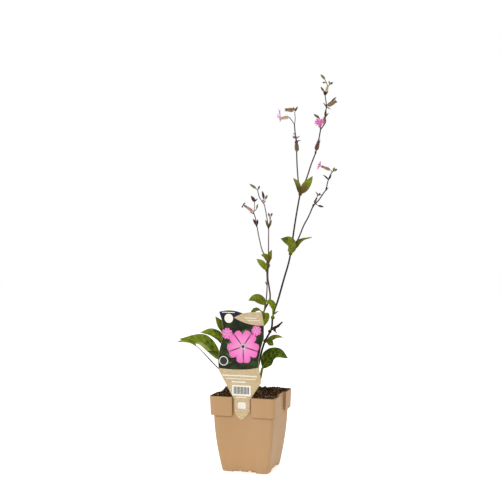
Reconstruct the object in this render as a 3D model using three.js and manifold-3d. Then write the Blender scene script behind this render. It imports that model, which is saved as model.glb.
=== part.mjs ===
// A red campion in a square nursery pot, with its soil and a stick-in plant label.
// Millimetres, +Z up. The origin is the middle of the pot on the surface that it stands on,
// and the pot's labelled face looks along -Y.
import * as THREE from "three";
import { mergeVertices } from "three/addons/utils/BufferGeometryUtils.js";
import Module from "manifold-3d";

const wasm = await Module();
wasm.setup();

// Clearance between neighbours that touch on the real plant.
const GAP = 0.3;
// The same round a stem with few flat sides, corner to corner.
const SEAT_GAP = 0.6;

// Pot
const POT_HEIGHT = 101.5;
const RIM_HALF = 45.3;
const RIM_FOOT_HALF = 44.3;
const RIM_FOOT_Z = 76;
const RIM_CORNER = 5;
const BODY_TOP_HALF = 41.3;
const BODY_TAPER = 9;
const BODY_BEND = 1.7;
const BODY_CORNER = 7;
const WALL = 1.2;
const RECESS_WIDTH = 26;
const RECESS_CORNER = 3;
const BASE_Z = 3;
const BASE_THICKNESS = 1.5;
const FOOT_LENGTH = 16;
const FOOT_INNER_HALF = 26.5;
const RIB_OUTER_HALF = 28.5;
const RIB_FOOT_Z = 0.4;
const RIB_NOTCHES = [
  [-8.5, -6.3],
  [4, 8.5],
];
const DRAIN_RADIUS = 4.5;
const DRAIN_OFFSET = 15;
const POT_LEVELS = 6;
const SOIL_LEVELS = 3;
const ARC_STEPS = 2;

// Soil
const SOIL_LEVEL = 99;
const SOIL_CELLS = 13;

// Label
const LABEL_Y = -42.2;
const LABEL_THICKNESS = 0.8;

// Plant
const BLADE_THICKNESS = 0.6;
const STEM_SIDES = 6;
const BRANCH_SIDES = 5;
const TWIG_SIDES = 4;
const TWIG_RADIUS = 0.6;
const BUD_STEPS = 2.6;
const COLLAR_LENGTH = 3;
const COLLAR_WALL = 0.9;
const STEM_FOOT_Z = 84;
const LEAF_ROOT_Z = 86;
const LEAF_NECK_Z = 97;
const TURN = THREE.MathUtils.degToRad(15.4);

// The plant spreads in a plane turned by TURN from the labelled face: its places are given as
// [distance across that plane, distance behind it, height].
function spot([across, behind, height]) {
  return new THREE.Vector3(
    across * Math.cos(TURN) - behind * Math.sin(TURN),
    across * Math.sin(TURN) + behind * Math.cos(TURN),
    height,
  );
}

// Solids

function solid(geometry) {
  const bare = geometry.clone();
  bare.deleteAttribute("normal");
  bare.deleteAttribute("uv");
  const merged = mergeVertices(bare, 1e-4);
  return new wasm.Manifold(
    new wasm.Mesh({
      numProp: 3,
      vertProperties: merged.attributes.position.array,
      triVerts: new Uint32Array(merged.index.array),
    }),
  );
}

function fuse(pieces) {
  return pieces.reduce((whole, piece) => whole.add(piece));
}

function carve(body, pieces) {
  return pieces.reduce((whole, piece) => whole.subtract(piece), body);
}

function geometryOf(body) {
  const made = body.getMesh();
  return new THREE.BufferGeometry()
    .setAttribute("position", new THREE.BufferAttribute(made.vertProperties, 3))
    .setIndex(new THREE.BufferAttribute(made.triVerts, 1));
}

function closedGeometry(points, faces) {
  return new THREE.BufferGeometry()
    .setFromPoints(points)
    .setIndex(faces);
}

// A closed skin over rings of equally many points, each counterclockwise about the way that
// the rings follow one another, with a flat cap on both ends.
function skin(rings) {
  const sides = rings[0].length;
  const faces = [];
  for (let i = 0; i + 1 < rings.length; i++) {
    for (let j = 0; j < sides; j++) {
      const a = i * sides + j;
      const b = i * sides + ((j + 1) % sides);
      faces.push(a, b, b + sides, a, b + sides, a + sides);
    }
  }
  const last = (rings.length - 1) * sides;
  for (let j = 1; j + 1 < sides; j++) {
    faces.push(0, j + 1, j);
    faces.push(last, last + j, last + j + 1);
  }
  return solid(closedGeometry(rings.flat(), faces));
}

// A thin closed sheet between two grids of points, split alike on both faces.
function slab(top, bottom) {
  const rows = top.length;
  const columns = top[0].length;
  const at = (r, c) => r * columns + c;
  const under = rows * columns;
  const faces = [];
  for (let r = 0; r + 1 < rows; r++) {
    for (let c = 0; c + 1 < columns; c++) {
      const [p, q, s, t] = [at(r, c), at(r, c + 1), at(r + 1, c + 1), at(r + 1, c)];
      faces.push(p, q, s, p, s, t);
      faces.push(under + p, under + s, under + q, under + p, under + t, under + s);
    }
  }
  const edge = [];
  for (let c = 0; c + 1 < columns; c++) edge.push(at(0, c));
  for (let r = 0; r + 1 < rows; r++) edge.push(at(r, columns - 1));
  for (let c = columns - 1; c > 0; c--) edge.push(at(rows - 1, c));
  for (let r = rows - 1; r > 0; r--) edge.push(at(r, 0));
  edge.forEach((p, i) => {
    const q = edge[(i + 1) % edge.length];
    faces.push(p, under + p, under + q, p, under + q, q);
  });
  return solid(closedGeometry([...top.flat(), ...bottom.flat()], faces));
}

// A round stem along a smooth curve, whose radius is a function of the share of its length.
function tube(points, radiusAt, sides = BRANCH_SIDES, stepLength = 15) {
  const curve = new THREE.CatmullRomCurve3(points, false, "centripetal");
  const steps = Math.max(2, Math.round(curve.getLength() / stepLength));
  let across = null;
  const rings = [];
  for (let i = 0; i <= steps; i++) {
    const along = curve.getTangentAt(i / steps);
    if (!across) {
      const aside = Math.abs(along.z) > 0.8 ? new THREE.Vector3(1, 0, 0) : new THREE.Vector3(0, 0, 1);
      across = aside.cross(along);
    }
    across = across.addScaledVector(along, -across.dot(along)).normalize();
    const up = along.clone().cross(across);
    const centre = curve.getPointAt(i / steps);
    const radius = radiusAt(i / steps);
    rings.push(
      Array.from({ length: sides }, (_, j) => {
        const angle = (2 * Math.PI * j) / sides;
        return centre
          .clone()
          .addScaledVector(across, radius * Math.cos(angle))
          .addScaledVector(up, radius * Math.sin(angle));
      }),
    );
  }
  return skin(rings);
}

const taper = (from, to) => (share) => THREE.MathUtils.lerp(from, to, share);

function box(low, high) {
  const [lx, ly, lz] = low;
  const [hx, hy, hz] = high;
  const made = new THREE.BoxGeometry(hx - lx, hy - ly, hz - lz);
  return solid(made.translate((lx + hx) / 2, (ly + hy) / 2, (lz + hz) / 2));
}

function onFourSides(piece) {
  return [0, 90, 180, 270].map((angle) => piece.rotate([0, 0, angle]));
}

// Pot

function bodyHalf(z) {
  const share = Math.max(0, 1 - z / RIM_FOOT_Z);
  return BODY_TOP_HALF - BODY_TAPER * share ** BODY_BEND;
}

function roundedSquare(half, corner, z) {
  const outline = new THREE.Shape();
  const flat = half - corner;
  outline.absarc(flat, flat, corner, 0, Math.PI / 2);
  outline.absarc(-flat, flat, corner, Math.PI / 2, Math.PI);
  outline.absarc(-flat, -flat, corner, Math.PI, 1.5 * Math.PI);
  outline.absarc(flat, -flat, corner, 1.5 * Math.PI, 2 * Math.PI);
  const points = outline.getPoints(ARC_STEPS).slice(0, -1);
  return points.map((p) => new THREE.Vector3(p.x, p.y, z));
}

// Everything inside the pot's body skin, drawn in by inset, from one height to another.
function bodyCore(inset, from, to, levels = POT_LEVELS) {
  const rings = [];
  for (let i = 0; i <= levels; i++) {
    const z = THREE.MathUtils.lerp(from, to, i / levels);
    rings.push(roundedSquare(bodyHalf(z) - inset, BODY_CORNER - inset, z));
  }
  return skin(rings);
}

// The same for the wider rim band, which is left out at the recess in the middle of each side.
function rimCore(inset, from, to) {
  const corner = RIM_CORNER - inset;
  const band = skin([
    roundedSquare(RIM_FOOT_HALF - inset, corner, from),
    roundedSquare(RIM_HALF - inset, corner, to),
  ]);
  const half = RECESS_WIDTH / 2 + inset;
  const foot = RIM_FOOT_Z + inset;
  const outline = new THREE.Shape();
  outline.moveTo(-half - RECESS_CORNER, foot - 1);
  outline.lineTo(half + RECESS_CORNER, foot - 1);
  outline.lineTo(half + RECESS_CORNER, foot);
  outline.absarc(half + RECESS_CORNER, foot + RECESS_CORNER, RECESS_CORNER, -Math.PI / 2, -Math.PI, true);
  outline.lineTo(half, POT_HEIGHT + 3);
  outline.lineTo(-half, POT_HEIGHT + 3);
  outline.absarc(-half - RECESS_CORNER, foot + RECESS_CORNER, RECESS_CORNER, 0, -Math.PI / 2, true);
  const long = 3 * RIM_HALF;
  const cutter = new THREE.ExtrudeGeometry(outline, {
    depth: long,
    bevelEnabled: false,
    curveSegments: ARC_STEPS,
  });
  cutter.translate(0, 0, -long / 2).rotateX(Math.PI / 2);
  const through = solid(cutter);
  return carve(band, [through, through.rotate([0, 0, 90])]);
}

function potCavity(inset, top, levels) {
  const floor = BASE_Z + BASE_THICKNESS + inset - WALL;
  return bodyCore(inset, floor, top, levels).add(rimCore(inset, RIM_FOOT_Z + inset, top));
}

function pot() {
  const outer = bodyCore(0, 0, POT_HEIGHT).add(rimCore(0, RIM_FOOT_Z, POT_HEIGHT));
  const far = -RIM_HALF;
  const underside = box(
    [-FOOT_INNER_HALF, -FOOT_INNER_HALF, -1],
    [FOOT_INNER_HALF, FOOT_INNER_HALF, BASE_Z],
  );
  const frontOfRib = box([-FOOT_LENGTH, far, -1], [FOOT_LENGTH, -RIB_OUTER_HALF, BASE_Z]);
  const belowRib = box([-FOOT_LENGTH, far, -1], [FOOT_LENGTH, 0, RIB_FOOT_Z]);
  const notches = RIB_NOTCHES.map(([left, right]) => box([left, far, -1], [right, 0, BASE_Z - 0.4]));
  const drain = new THREE.CylinderGeometry(DRAIN_RADIUS, DRAIN_RADIUS, 20, 8).rotateX(Math.PI / 2);
  return carve(outer, [
    potCavity(WALL, POT_HEIGHT + 1, POT_LEVELS),
    underside,
    ...[frontOfRib, belowRib, ...notches].flatMap(onFourSides),
    ...onFourSides(solid(drain.clone().translate(DRAIN_OFFSET, DRAIN_OFFSET, 0))),
    solid(drain),
  ]);
}

// Soil

// Low swells and small crumbs, a little higher towards the back left corner.
function soilHeight(x, y) {
  const mound = 0.022 * (y - x);
  const swell = 0.7 * Math.sin(0.13 * x + 1.2) * Math.cos(0.11 * y - 0.4);
  const crumb = 0.55 * Math.sin(0.9 * x + 0.4 * y) * Math.sin(0.8 * y - 0.3 * x + 2);
  return SOIL_LEVEL + mound + swell + crumb;
}

function soil(holes) {
  const reach = RIM_HALF;
  const top = [];
  const bottom = [];
  for (let i = 0; i <= SOIL_CELLS; i++) {
    const y = THREE.MathUtils.lerp(-reach, reach, i / SOIL_CELLS);
    const xs = Array.from({ length: SOIL_CELLS + 1 }, (_, j) =>
      THREE.MathUtils.lerp(-reach, reach, j / SOIL_CELLS),
    );
    top.push(xs.map((x) => new THREE.Vector3(x, y, soilHeight(x, y))));
    bottom.push(xs.map((x) => new THREE.Vector3(x, y, 0)));
  }
  const filled = potCavity(WALL + GAP, POT_HEIGHT + 10, SOIL_LEVELS).intersect(slab(top, bottom));
  return carve(filled, holes);
}

// Label: a stiff plastic card whose tongue lies in the front recess.

function label() {
  const card = new THREE.Shape();
  card.moveTo(-32, 213);
  card.lineTo(-29.5, 206);
  card.quadraticCurveTo(-23, 190, -29, 171);
  card.quadraticCurveTo(-35, 153, -32, 135);
  card.lineTo(-13.5, POT_HEIGHT + 1);
  card.lineTo(-10.8, POT_HEIGHT - 3);
  card.lineTo(-10.8, 84);
  card.quadraticCurveTo(-8, 75, -1, 71.5);
  card.quadraticCurveTo(6, 75, 10.8, 84);
  card.lineTo(10.8, POT_HEIGHT - 3);
  card.lineTo(13.5, POT_HEIGHT + 1);
  card.lineTo(26.5, 122);
  card.lineTo(22.5, 145);
  card.quadraticCurveTo(24, 163, 30, 180);
  card.lineTo(30, 197);
  card.lineTo(27, 213.5);
  card.quadraticCurveTo(12, 214, 1, 211.5);
  card.quadraticCurveTo(-14, 218, -32, 213);
  const made = new THREE.ExtrudeGeometry(card, {
    depth: LABEL_THICKNESS,
    bevelEnabled: false,
    curveSegments: 5,
  });
  made.rotateX(Math.PI / 2);
  made.translate(0, LABEL_Y + LABEL_THICKNESS / 2, 0);
  return solid(made);
}

// Stems

// Each run is a smooth stretch with its radius at both ends.
const TALL_RUNS = [
  { from: 1.4, to: 0.95, sides: STEM_SIDES, route: [[4, 2, STEM_FOOT_Z], [4, 2, 98], [6.5, 1, 122],
    [12.7, -1, 153], [18, -2, 170], [27, -3, 188], [29, -3, 206], [36, -4, 227], [43, -4, 252],
    [51, -4, 280], [54, -4, 297], [58, -5, 325], [61, -6, 344], [66, -7, 372]] },
  { from: 0.9, to: 0.8, route: [[53.6, -4, 291.8], [63.5, 0, 310], [71, 3, 328], [77, 5, 339],
    [84, 7, 355]] },
  { from: 0.8, to: 0.6, route: [[84, 7, 355], [91, 8, 362], [98, 9, 372], [102, 9, 378], [103, 9, 384],
    [105, 10, 391], [108, 10, 398], [110, 10, 401]] },
  { from: 0.9, to: 0.7, route: [[66, -7, 371.6], [64, -6, 382], [62, -8, 402], [61, -12, 424],
    [61, -11, 440], [59, -12, 451], [58, -12, 463]] },
  { from: 0.9, to: 0.75, route: [[66, -7, 371.6], [68.6, -5, 379], [74, -3, 390], [81, 0, 411], [87, 2, 427],
    [91, 5, 443], [94, 5, 459]] },
  { from: 0.75, to: 0.55, route: [[94, 5, 459], [97, 6, 463], [101, 7, 470], [100, 7, 476], [101, 7, 483],
    [102, 7, 491], [101, 7, 500], [100, 7, 509], [102, 7, 513], [104, 7, 517.6]] },
];

// Thin stalks that end at a bloom's calyx.
const TALL_TWIGS = [
  [[84, 7, 355], [85, 6, 357.3]],
  [[110, 10, 401], [109, 9, 402.3], [107.9, 8.2, 403.4]],
  [[61, -12, 424], [61.3, -13.6, 425.6]],
  [[58, -12, 463], [54, -13, 469], [51, -14, 472.4]],
  [[87, 2, 427], [87.4, 0.8, 428.8]],
  [[94, 5, 459], [93.3, 3.2, 460.2], [92.7, 1.5, 461]],
  [[97, 6, 463], [97.8, 4.2, 465.5]],
  [[102, 7, 490], [103, 5.6, 490.6]],
  [[100, 7, 509], [101.2, 4.8, 510]],
];

// Closed buds on their stalks: the route, the bud's length at its end and its girth.
const TALL_BUDS = [
  [[[87, 8, 358], [90, 6.5, 355.6], [98.5, 5, 353]], 8, 1.5],
  [[[110, 10, 401], [113, 11, 403.4], [117.3, 12, 405.4]], 5.5, 2],
  [[[110, 10, 401], [111, 10.6, 402.5], [113.4, 12, 408]], 4.5, 1.4],
  [[[58, -12, 462], [59, -12, 471], [58.6, -12, 480], [62.5, -10.5, 487.6]], 7.5, 1.4],
  [[[94, 5, 459], [94.4, 6, 468], [92.4, 4.5, 473.4], [84.2, 1, 479.2]], 10, 1.8],
  [[[102, 7, 491], [104.6, 8.8, 494.6], [110, 11, 499], [116, 12, 504.2]], 9, 1.3],
  [[[100, 7, 507.4], [98, 6.3, 511.4], [93.9, 4, 517]], 7.5, 1.5],
  [[[104, 7, 517], [102.4, 6, 521.6], [99, 5, 528], [93.6, 3.6, 533.6]], 9, 1.8],
  [[[101.8, 5.8, 522.6], [100.2, 4.8, 522.6], [96.2, 3.6, 522.6]], 4, 1.4],
  [[[104, 7, 517.4], [107, 8, 521], [111.3, 9, 523.8]], 5, 1.6],
  [[[105.6, 7.4, 519.4], [106, 7, 521.6], [105.4, 6.4, 525.4]], 3.6, 1.1],
];

// Small leaves below buds and forks: foot, tip and half width.
const TALL_BRACTS = [
  [[30, -3.6, 207], [36.4, -6, 212], 1.7],
  [[84, 7, 354.5], [90.5, 5.5, 361], 1.2],
  [[105, 10, 390.5], [97.6, 8.4, 397.4], 1.8],
  [[105, 10, 390.5], [109, 11, 397.5], 1.6],
  [[102, 9, 377.5], [105, 9.6, 379.5], 0.9],
  [[59.3, -11.6, 449], [56.2, -12.4, 451.5], 1],
  [[60, -11.4, 440.4], [66.6, -9.5, 442], 1.1],
  [[59, -12, 481.5], [56, -10.6, 487], 1.2],
  [[89, 4.4, 437], [93.4, 3, 446], 0.8],
  [[100, 7, 475.5], [105, 6, 481.5], 1.3],
  [[100.2, 6.6, 475.5], [101.2, 5.8, 487], 1.5],
  [[102, 7, 489.6], [97.6, 5, 495], 1.6],
  [[102, 7, 489.6], [107.6, 5.8, 486.6], 1.2],
  [[100, 7, 505.4], [104.4, 6.6, 511.6], 1.7],
  [[100, 7, 505.4], [98.2, 5.4, 512.6], 1.7],
];

const SHORT_RUNS = [
  { from: 1.2, to: 0.95, route: [[-2, 4, STEM_FOOT_Z], [-2, 4, 98], [2, 4, 144], [10, 2, 188], [18, 0, 214],
    [25, -0.5, 228], [24, -1, 243], [22, -1, 257], [23, -1, 281.4]] },
  { from: 0.85, to: 0.75, route: [[18, 0, 214], [20, 4, 228], [21, 5.5, 245], [20.4, 6, 270.6]] },
  { from: 0.8, to: 0.65, route: [[23, -1, 281], [15.4, -3, 292], [11, -5, 308], [7, -7, 329], [5, -8, 339],
    [3, -8, 345]] },
  { from: 0.8, to: 0.55, route: [[23, -1, 281], [23, 1, 295], [23, 3, 311], [23, 4, 325], [21, 5, 337],
    [19, 5, 348], [17, 5, 357], [14, 5, 361], [10, 4, 368], [8, 3, 377]] },
];

const SHORT_TWIGS = [
  [[3, -8, 344], [2.6, -8.8, 345.8]],
];

const SHORT_BUDS = [
  [[[3, -8, 344], [4, -8, 351], [4, -8, 360], [-0.6, -10, 367.8]], 10, 2.3],
  [[[4, -7.8, 347], [6.4, -6, 349.4], [8.6, -4.2, 357]], 6.5, 1.4],
  [[[23, 4, 325], [25, 6.5, 335], [24, 7, 341], [22.6, 7, 345.5]], 5, 1.5],
  [[[25, 6.5, 334], [26, 7.6, 340], [28, 9.4, 345.5]], 5, 1.5],
  [[[14.6, 5, 360.6], [16.2, 4.4, 365.4], [14.4, 3.4, 375.4]], 11, 1.8],
  [[[14.4, 5, 360], [18.6, 6, 364.4], [21.4, 7, 370]], 6.5, 1.7],
  [[[8, 3, 376], [5, 2, 379], [-3, 0, 384.5]], 11, 1.8],
  [[[8, 3, 376], [9, 3.6, 378], [11, 5, 382.5]], 5.5, 1.5],
];

const SHORT_BRACTS = [
  [[7, -7, 327.5], [2, -9, 336.5], 2.3],
  [[7, -7, 327.5], [8.4, -5, 336], 1.9],
  [[4, -8, 359.5], [8.4, -6.8, 364], 1.3],
  [[3.4, -8, 343], [-2.4, -9.2, 346], 1.1],
  [[23, 4, 324], [18.6, 1, 336], 1.8],
  [[23, 4, 324], [27.4, 6.4, 336], 1.8],
  [[15.6, 5, 358], [19.4, 4, 361.8], 1.3],
  [[21, 5.5, 246], [18.4, 4, 251.5], 1.1],
];

// A swelling on a stem where leaves or branches part from it.
function knot(place, radius) {
  const [across, behind, height] = place;
  const ends = [spot([across, behind, height - 2]), spot([across, behind, height + 2])];
  return tube(ends, (share) => radius * (0.6 + 0.4 * Math.sin(Math.PI * share)), TWIG_SIDES, 2);
}

function bud([route, length, girth]) {
  const places = route.map(spot);
  const whole = new THREE.CatmullRomCurve3(places, false, "centripetal").getLength();
  const neck = 1 - length / whole;
  const radiusAt = (share) => {
    if (share < neck) return TWIG_RADIUS;
    const along = (share - neck) / (1 - neck);
    return TWIG_RADIUS + (girth - TWIG_RADIUS) * Math.sin(Math.PI * along ** 0.7) - 0.2 * along;
  };
  return tube(places, radiusAt, TWIG_SIDES, Math.max(2, length / BUD_STEPS));
}

function bract([foot, tip, halfWidth]) {
  return blade({ route: [foot, tip], halfWidth, rows: 2, columns: 1 });
}

function branching({ runs, twigs, buds, bracts, knots }) {
  return fuse([
    ...runs.map(({ from, to, route, sides }) => tube(route.map(spot), taper(from, to), sides)),
    ...twigs.map((route) => tube(route.map(spot), () => TWIG_RADIUS, TWIG_SIDES, 6)),
    ...buds.map(bud),
    ...bracts.map(bract),
    ...knots.map(([place, radius]) => knot(place, radius)),
  ]);
}

const TALL_KNOTS = [
  [[84, 7, 355], 1.2],
  [[102, 9, 378], 1.2],
  [[87, 2, 427], 1.2],
  [[102, 7, 490.5], 1.2],
];

const SHORT_KNOTS = [
  [[7, -7, 328], 1.2],
  [[23, 4, 325], 1.2],
];

// The room that a stem needs round it, where it goes through the soil or a leaf pair's collar.
function roomFor({ from, to, route, sides }) {
  const room = tube(route.map(spot), taper(from + SEAT_GAP, to + SEAT_GAP), sides);
  const [across, behind, height] = route[0];
  if (height > POT_HEIGHT) return room;
  const below = [[across, behind, height - 1], [across, behind, height + 1]];
  return room.add(tube(below.map(spot), () => from + SEAT_GAP, sides));
}

// Leaves

function ovate(share) {
  return Math.max(0.06, Math.sin(Math.PI * share ** 0.8) ** 0.9);
}

// One leaf blade along its midrib. facing is the way that its upper face looks.
function blade({
  route,
  halfWidth,
  facing = [0, -0.6, 0.8],
  rows = 6,
  columns = 2,
  lift = 0.22,
  curl = 0,
  wave = 0,
  shape = ovate,
}) {
  const curve = new THREE.CatmullRomCurve3(route.map(spot), false, "centripetal");
  const faceWay = spot(facing);
  const top = [];
  const bottom = [];
  for (let r = 0; r <= rows; r++) {
    const share = r / rows;
    const middle = curve.getPointAt(share);
    const along = curve.getTangentAt(share);
    const aside = along.clone().cross(faceWay).normalize();
    const up = aside.clone().cross(along);
    const reach = Math.max(0.45, halfWidth * shape(share));
    const line = Array.from({ length: columns + 1 }, (_, c) => {
      const out = (2 * c) / columns - 1;
      const ripple = wave * Math.abs(out) * Math.sin(9 * share + 2 * out);
      const rise = lift * Math.abs(out) * reach + curl * out * out * reach * 0.5 + ripple;
      return middle.clone().addScaledVector(aside, out * reach).addScaledVector(up, rise);
    });
    const half = up.multiplyScalar(BLADE_THICKNESS / 2);
    top.push(line.map((p) => p.clone().add(half)));
    bottom.push(line.map((p) => p.clone().sub(half)));
  }
  return slab(top, bottom);
}

// A leaf's stalk runs on into its blade as the midrib.
function stalkRun({ stalk, stalkRadius = 0.8, route }) {
  return { from: stalkRadius, to: 0.5, route: [...stalk, route[0], route[1]] };
}

// A leaf with its own stalk, which is left out where the blade sits straight on a stem.
function leaf({ stalk, stalkRadius, ...form }) {
  const made = blade(form);
  if (!stalk) return made;
  const { from, to, route } = stalkRun({ stalk, stalkRadius, route: form.route });
  return made.add(tube(route.map(spot), taper(from, to), TWIG_SIDES));
}

// Leaves that share a collar round a stem.
function leafRing({ collar, radius, leaves, stem }) {
  const [low, high] = collar;
  const outer = radius + SEAT_GAP + COLLAR_WALL;
  const ring = tube([spot(low), spot(high)], () => outer, STEM_SIDES, COLLAR_LENGTH);
  return fuse([ring, ...leaves.map(leaf)]).subtract(stem);
}

const TALL_LEAF_RINGS = {
  tall_leaves_top: {
    collar: [[65.5, -7, 368.4], [66, -7, 371]],
    radius: 1,
    leaves: [
      { route: [[65.8, -8, 370], [63.6, -11.5, 377], [61.2, -14.5, 384], [56, -17, 391]], halfWidth: 4,
        facing: [0.5, -1, 0.2], wave: 0.4 },
      { route: [[66.3, -8, 370.2], [70.6, -10.4, 376], [75.8, -10.4, 383.4], [82.5, -7, 394]], halfWidth: 5.7,
        facing: [-0.2, -1, 0.3], wave: 0.5 },
    ],
  },
  tall_leaves_middle: {
    collar: [[52.6, -4, 288.2], [53, -4, 290.8]],
    radius: 1.2,
    leaves: [
      { route: [[53, -5.5, 289.8], [54, -9.5, 297.5], [51.4, -13.5, 304.5], [39.2, -19, 309.8]],
        halfWidth: 8.2, facing: [0.4, -1, 0.5], wave: 0.7 },
      { route: [[53.4, -3, 289.8], [58.4, -1.4, 297.5], [64.3, 1, 304.4], [71, 3, 308.6], [82.2, 6, 311.9]],
        halfWidth: 4.8, facing: [0, -0.5, 1], wave: 0.4, lift: 0.3 },
    ],
  },
  tall_leaves_bottom: {
    collar: [[18, -2, 169.6], [19.4, -2, 172.4]],
    radius: 1.4,
    leaves: [
      { route: [[20, -3.5, 171.5], [26.5, -8, 175], [34, -12, 178], [42.5, -17, 177.8]], halfWidth: 3.4,
        facing: [0, -1, 0.5], wave: 0.3 },
      { route: [[20, -1, 171], [24, 0.8, 169.4], [29.8, 2.6, 164.4]], halfWidth: 4.8,
        facing: [0.2, -1, 0.4] },
      { route: [[17.6, -3, 171], [13, -7, 175], [8, -10, 174]], halfWidth: 3, facing: [0, -0.6, 1] },
    ],
  },
  tall_leaf_arched: {
    collar: [[28.7, -3, 201.6], [29, -3, 204.4]],
    radius: 1.35,
    leaves: [
      { stalk: [[29, -5, 203]], route: [[28.6, -7, 213.2], [29, -10, 219.8], [25.2, -13, 224.4],
        [18, -15, 224.8]], halfWidth: 4.5, facing: [-0.4, -1, 0.5], wave: 0.4 },
    ],
  },
};

const SHORT_LEAF_RINGS = {
  short_leaves_top: {
    collar: [[22.8, -1, 277.4], [22.9, -1, 280]],
    radius: 0.95,
    leaves: [
      { route: [[23.4, -2.2, 279], [24.4, -5, 284], [25.4, -7, 289], [27.4, -7.4, 294.8]], halfWidth: 3.6,
        facing: [-0.3, -1, 0.2], wave: 0.3 },
      { route: [[22.4, -2.2, 279], [20.8, -5.6, 283.2], [17.8, -8.6, 286.6], [13, -12, 288]], halfWidth: 4,
        facing: [0.3, -1, 0.3], wave: 0.3 },
    ],
  },
  shoot_leaves: {
    collar: [[20.5, 5.9, 265.6], [20.4, 6, 268.2]],
    radius: 0.8,
    leaves: [
      { route: [[19.8, 4.9, 267.2], [17.6, 3, 271.4], [13.8, 0, 275.8], [6.8, -5, 282.4]], halfWidth: 4.9,
        facing: [0.4, -1, 0.4], wave: 0.4 },
      { route: [[21, 7.2, 267.2], [22.4, 10.4, 273], [20, 12.6, 278.4]], halfWidth: 3.4,
        facing: [-0.4, -0.6, 0.8] },
    ],
  },
  short_leaves_bottom: {
    collar: [[15.6, 0.8, 205.4], [16.6, 0.5, 208.4]],
    radius: 1.1,
    leaves: [
      { route: [[15, -0.6, 207.4], [11.5, -6, 213], [6, -10, 213.6], [-2, -15, 208.6]], halfWidth: 4.4,
        facing: [0, -0.6, 1], wave: 0.4 },
      { route: [[16.6, -1, 207.4], [18.5, -7, 209.5], [19, -12, 202], [16, -16, 191]], halfWidth: 5.2,
        facing: [0.4, -0.7, 0.6], wave: 0.4 },
      { stalk: [[16.4, -1.4, 208]], route: [[17.6, -5, 220.5], [12.5, -8, 227], [5, -10, 229.5],
        [-4, -12, 226.5]], halfWidth: 6.2, facing: [0, -1, 0.3], wave: 0.4 },
    ],
  },
};

// Leaves on stalks of their own, which rise from a root in the soil round a bend or two.
const CROWN_LEAVES = {
  leaf_right_large: {
    root: [3, -4],
    bends: [[12.2, -5, 122]],
    stalkRadius: 1.1,
    route: [[15, -8, 135], [24.6, -14, 150.6], [35.5, -21.5, 156.4], [48.8, -30, 152]],
    halfWidth: 10.1, facing: [0, -1, 0.55], wave: 0.8,
  },
  leaf_left_large: {
    root: [-6, 8],
    bends: [[-20, 7, 122]],
    stalkRadius: 1,
    route: [[-44, 7, 144], [-57, 10, 160.5], [-68, 15, 168.5], [-85, 24, 169.5], [-103.5, 34, 169.5]],
    halfWidth: 10.5, facing: [0.3, -1, 1], wave: 0.9, rows: 9,
  },
  leaf_left_front: {
    root: [-5, -6],
    bends: [[-16, -9, 130]],
    route: [[-30, -12, 164], [-44, -16, 178], [-55, -20, 184], [-68, -24, 184.5]],
    halfWidth: 8.2, facing: [0.1, -0.9, 1], wave: 0.6,
  },
  leaf_left_upright: {
    root: [-8, 13],
    bends: [[-16, 12, 140]],
    route: [[-30, 11, 176], [-38, 10, 186], [-44, 9, 194], [-50, 8, 203.5]],
    halfWidth: 6.4, facing: [0.4, -1, 0.3], wave: 0.4,
  },
  leaf_left_small: {
    root: [-11, 2],
    bends: [[-20, 0, 118]],
    route: [[-36, -1, 139], [-43, -1, 149], [-50, -2, 154], [-60, -5, 156.5]],
    halfWidth: 4.8, facing: [0, -0.8, 1], wave: 0.3,
  },
  leaf_left_folded: {
    root: [-10, -10],
    bends: [[-26, -9, 117], [-48, -10, 138]],
    route: [[-74, -13, 165], [-82, -15, 169.5], [-90, -17, 171], [-98.5, -18, 171.5]],
    halfWidth: 4, facing: [0, -0.4, 1], lift: 0.7, rows: 6,
  },
  leaf_back_tall: {
    root: [0, 12],
    bends: [[-2, 18, 132]],
    route: [[-6, 23, 150], [-12, 29, 166], [-20, 35, 175], [-32, 42, 176]],
    halfWidth: 9.5, facing: [0, 0.8, 0.9], wave: 0.8, rows: 5,
  },
  leaf_back_low: {
    root: [7, 12],
    bends: [[7, 17, 116]],
    route: [[6, 22, 127], [4, 30, 138], [0, 38, 141], [-6, 46, 134]],
    halfWidth: 8.5, facing: [0.2, 0.5, 1], wave: 0.7, rows: 5,
  },
  leaf_behind_label: {
    root: [0, -8],
    bends: [[-2, -13, 124]],
    route: [[-6, -17, 142], [-12, -21, 158], [-18, -24, 172], [-24, -26, 188]],
    halfWidth: 9, facing: [0.2, -1, 0.4], wave: 0.6, rows: 5,
  },
};

function crownLeaf({ root, bends, ...form }) {
  return { ...form, stalk: [[...root, LEAF_ROOT_Z], [...root, LEAF_NECK_Z], ...bends] };
}

// A withered leaf, rolled up, that still hangs on the tall stem.
const DEAD_LEAF = {
  roll: [[25.6, -1.4, 184.6], [30, 3, 188], [35, 6, 190], [42, 9, 196]],
  flap: [[29, 2.4, 187.4], [32, 4, 184], [34, 5, 181]],
  collar: [[24.2, -2.8, 183], [25.4, -2.9, 185]],
  collarRadius: 2.8,
  flapHalfWidth: 2.4,
};

function deadLeaf(stem) {
  const { roll, flap, collar, collarRadius, flapHalfWidth } = DEAD_LEAF;
  const fullness = (share) => 0.9 + 1.2 * Math.sin(Math.PI * share) * (1 - 0.3 * share);
  return fuse([
    tube(roll.map(spot), fullness, STEM_SIDES, 3.5),
    blade({ route: flap, halfWidth: flapHalfWidth, rows: 3 }),
    tube(collar.map(spot), () => collarRadius, STEM_SIDES, COLLAR_LENGTH),
  ]).subtract(stem);
}

// Blooms

// A ribbed calyx with a crown of pointed teeth round a shallow mouth.
const CALYX_OUTLINE = [
  [0, 0.32],
  [0.1, 0.72],
  [0.3, 1],
  [0.6, 0.95],
  [0.85, 0.68],
];
const CALYX_POINTS = 10;
const MOUTH_DEPTH = 1;

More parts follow.
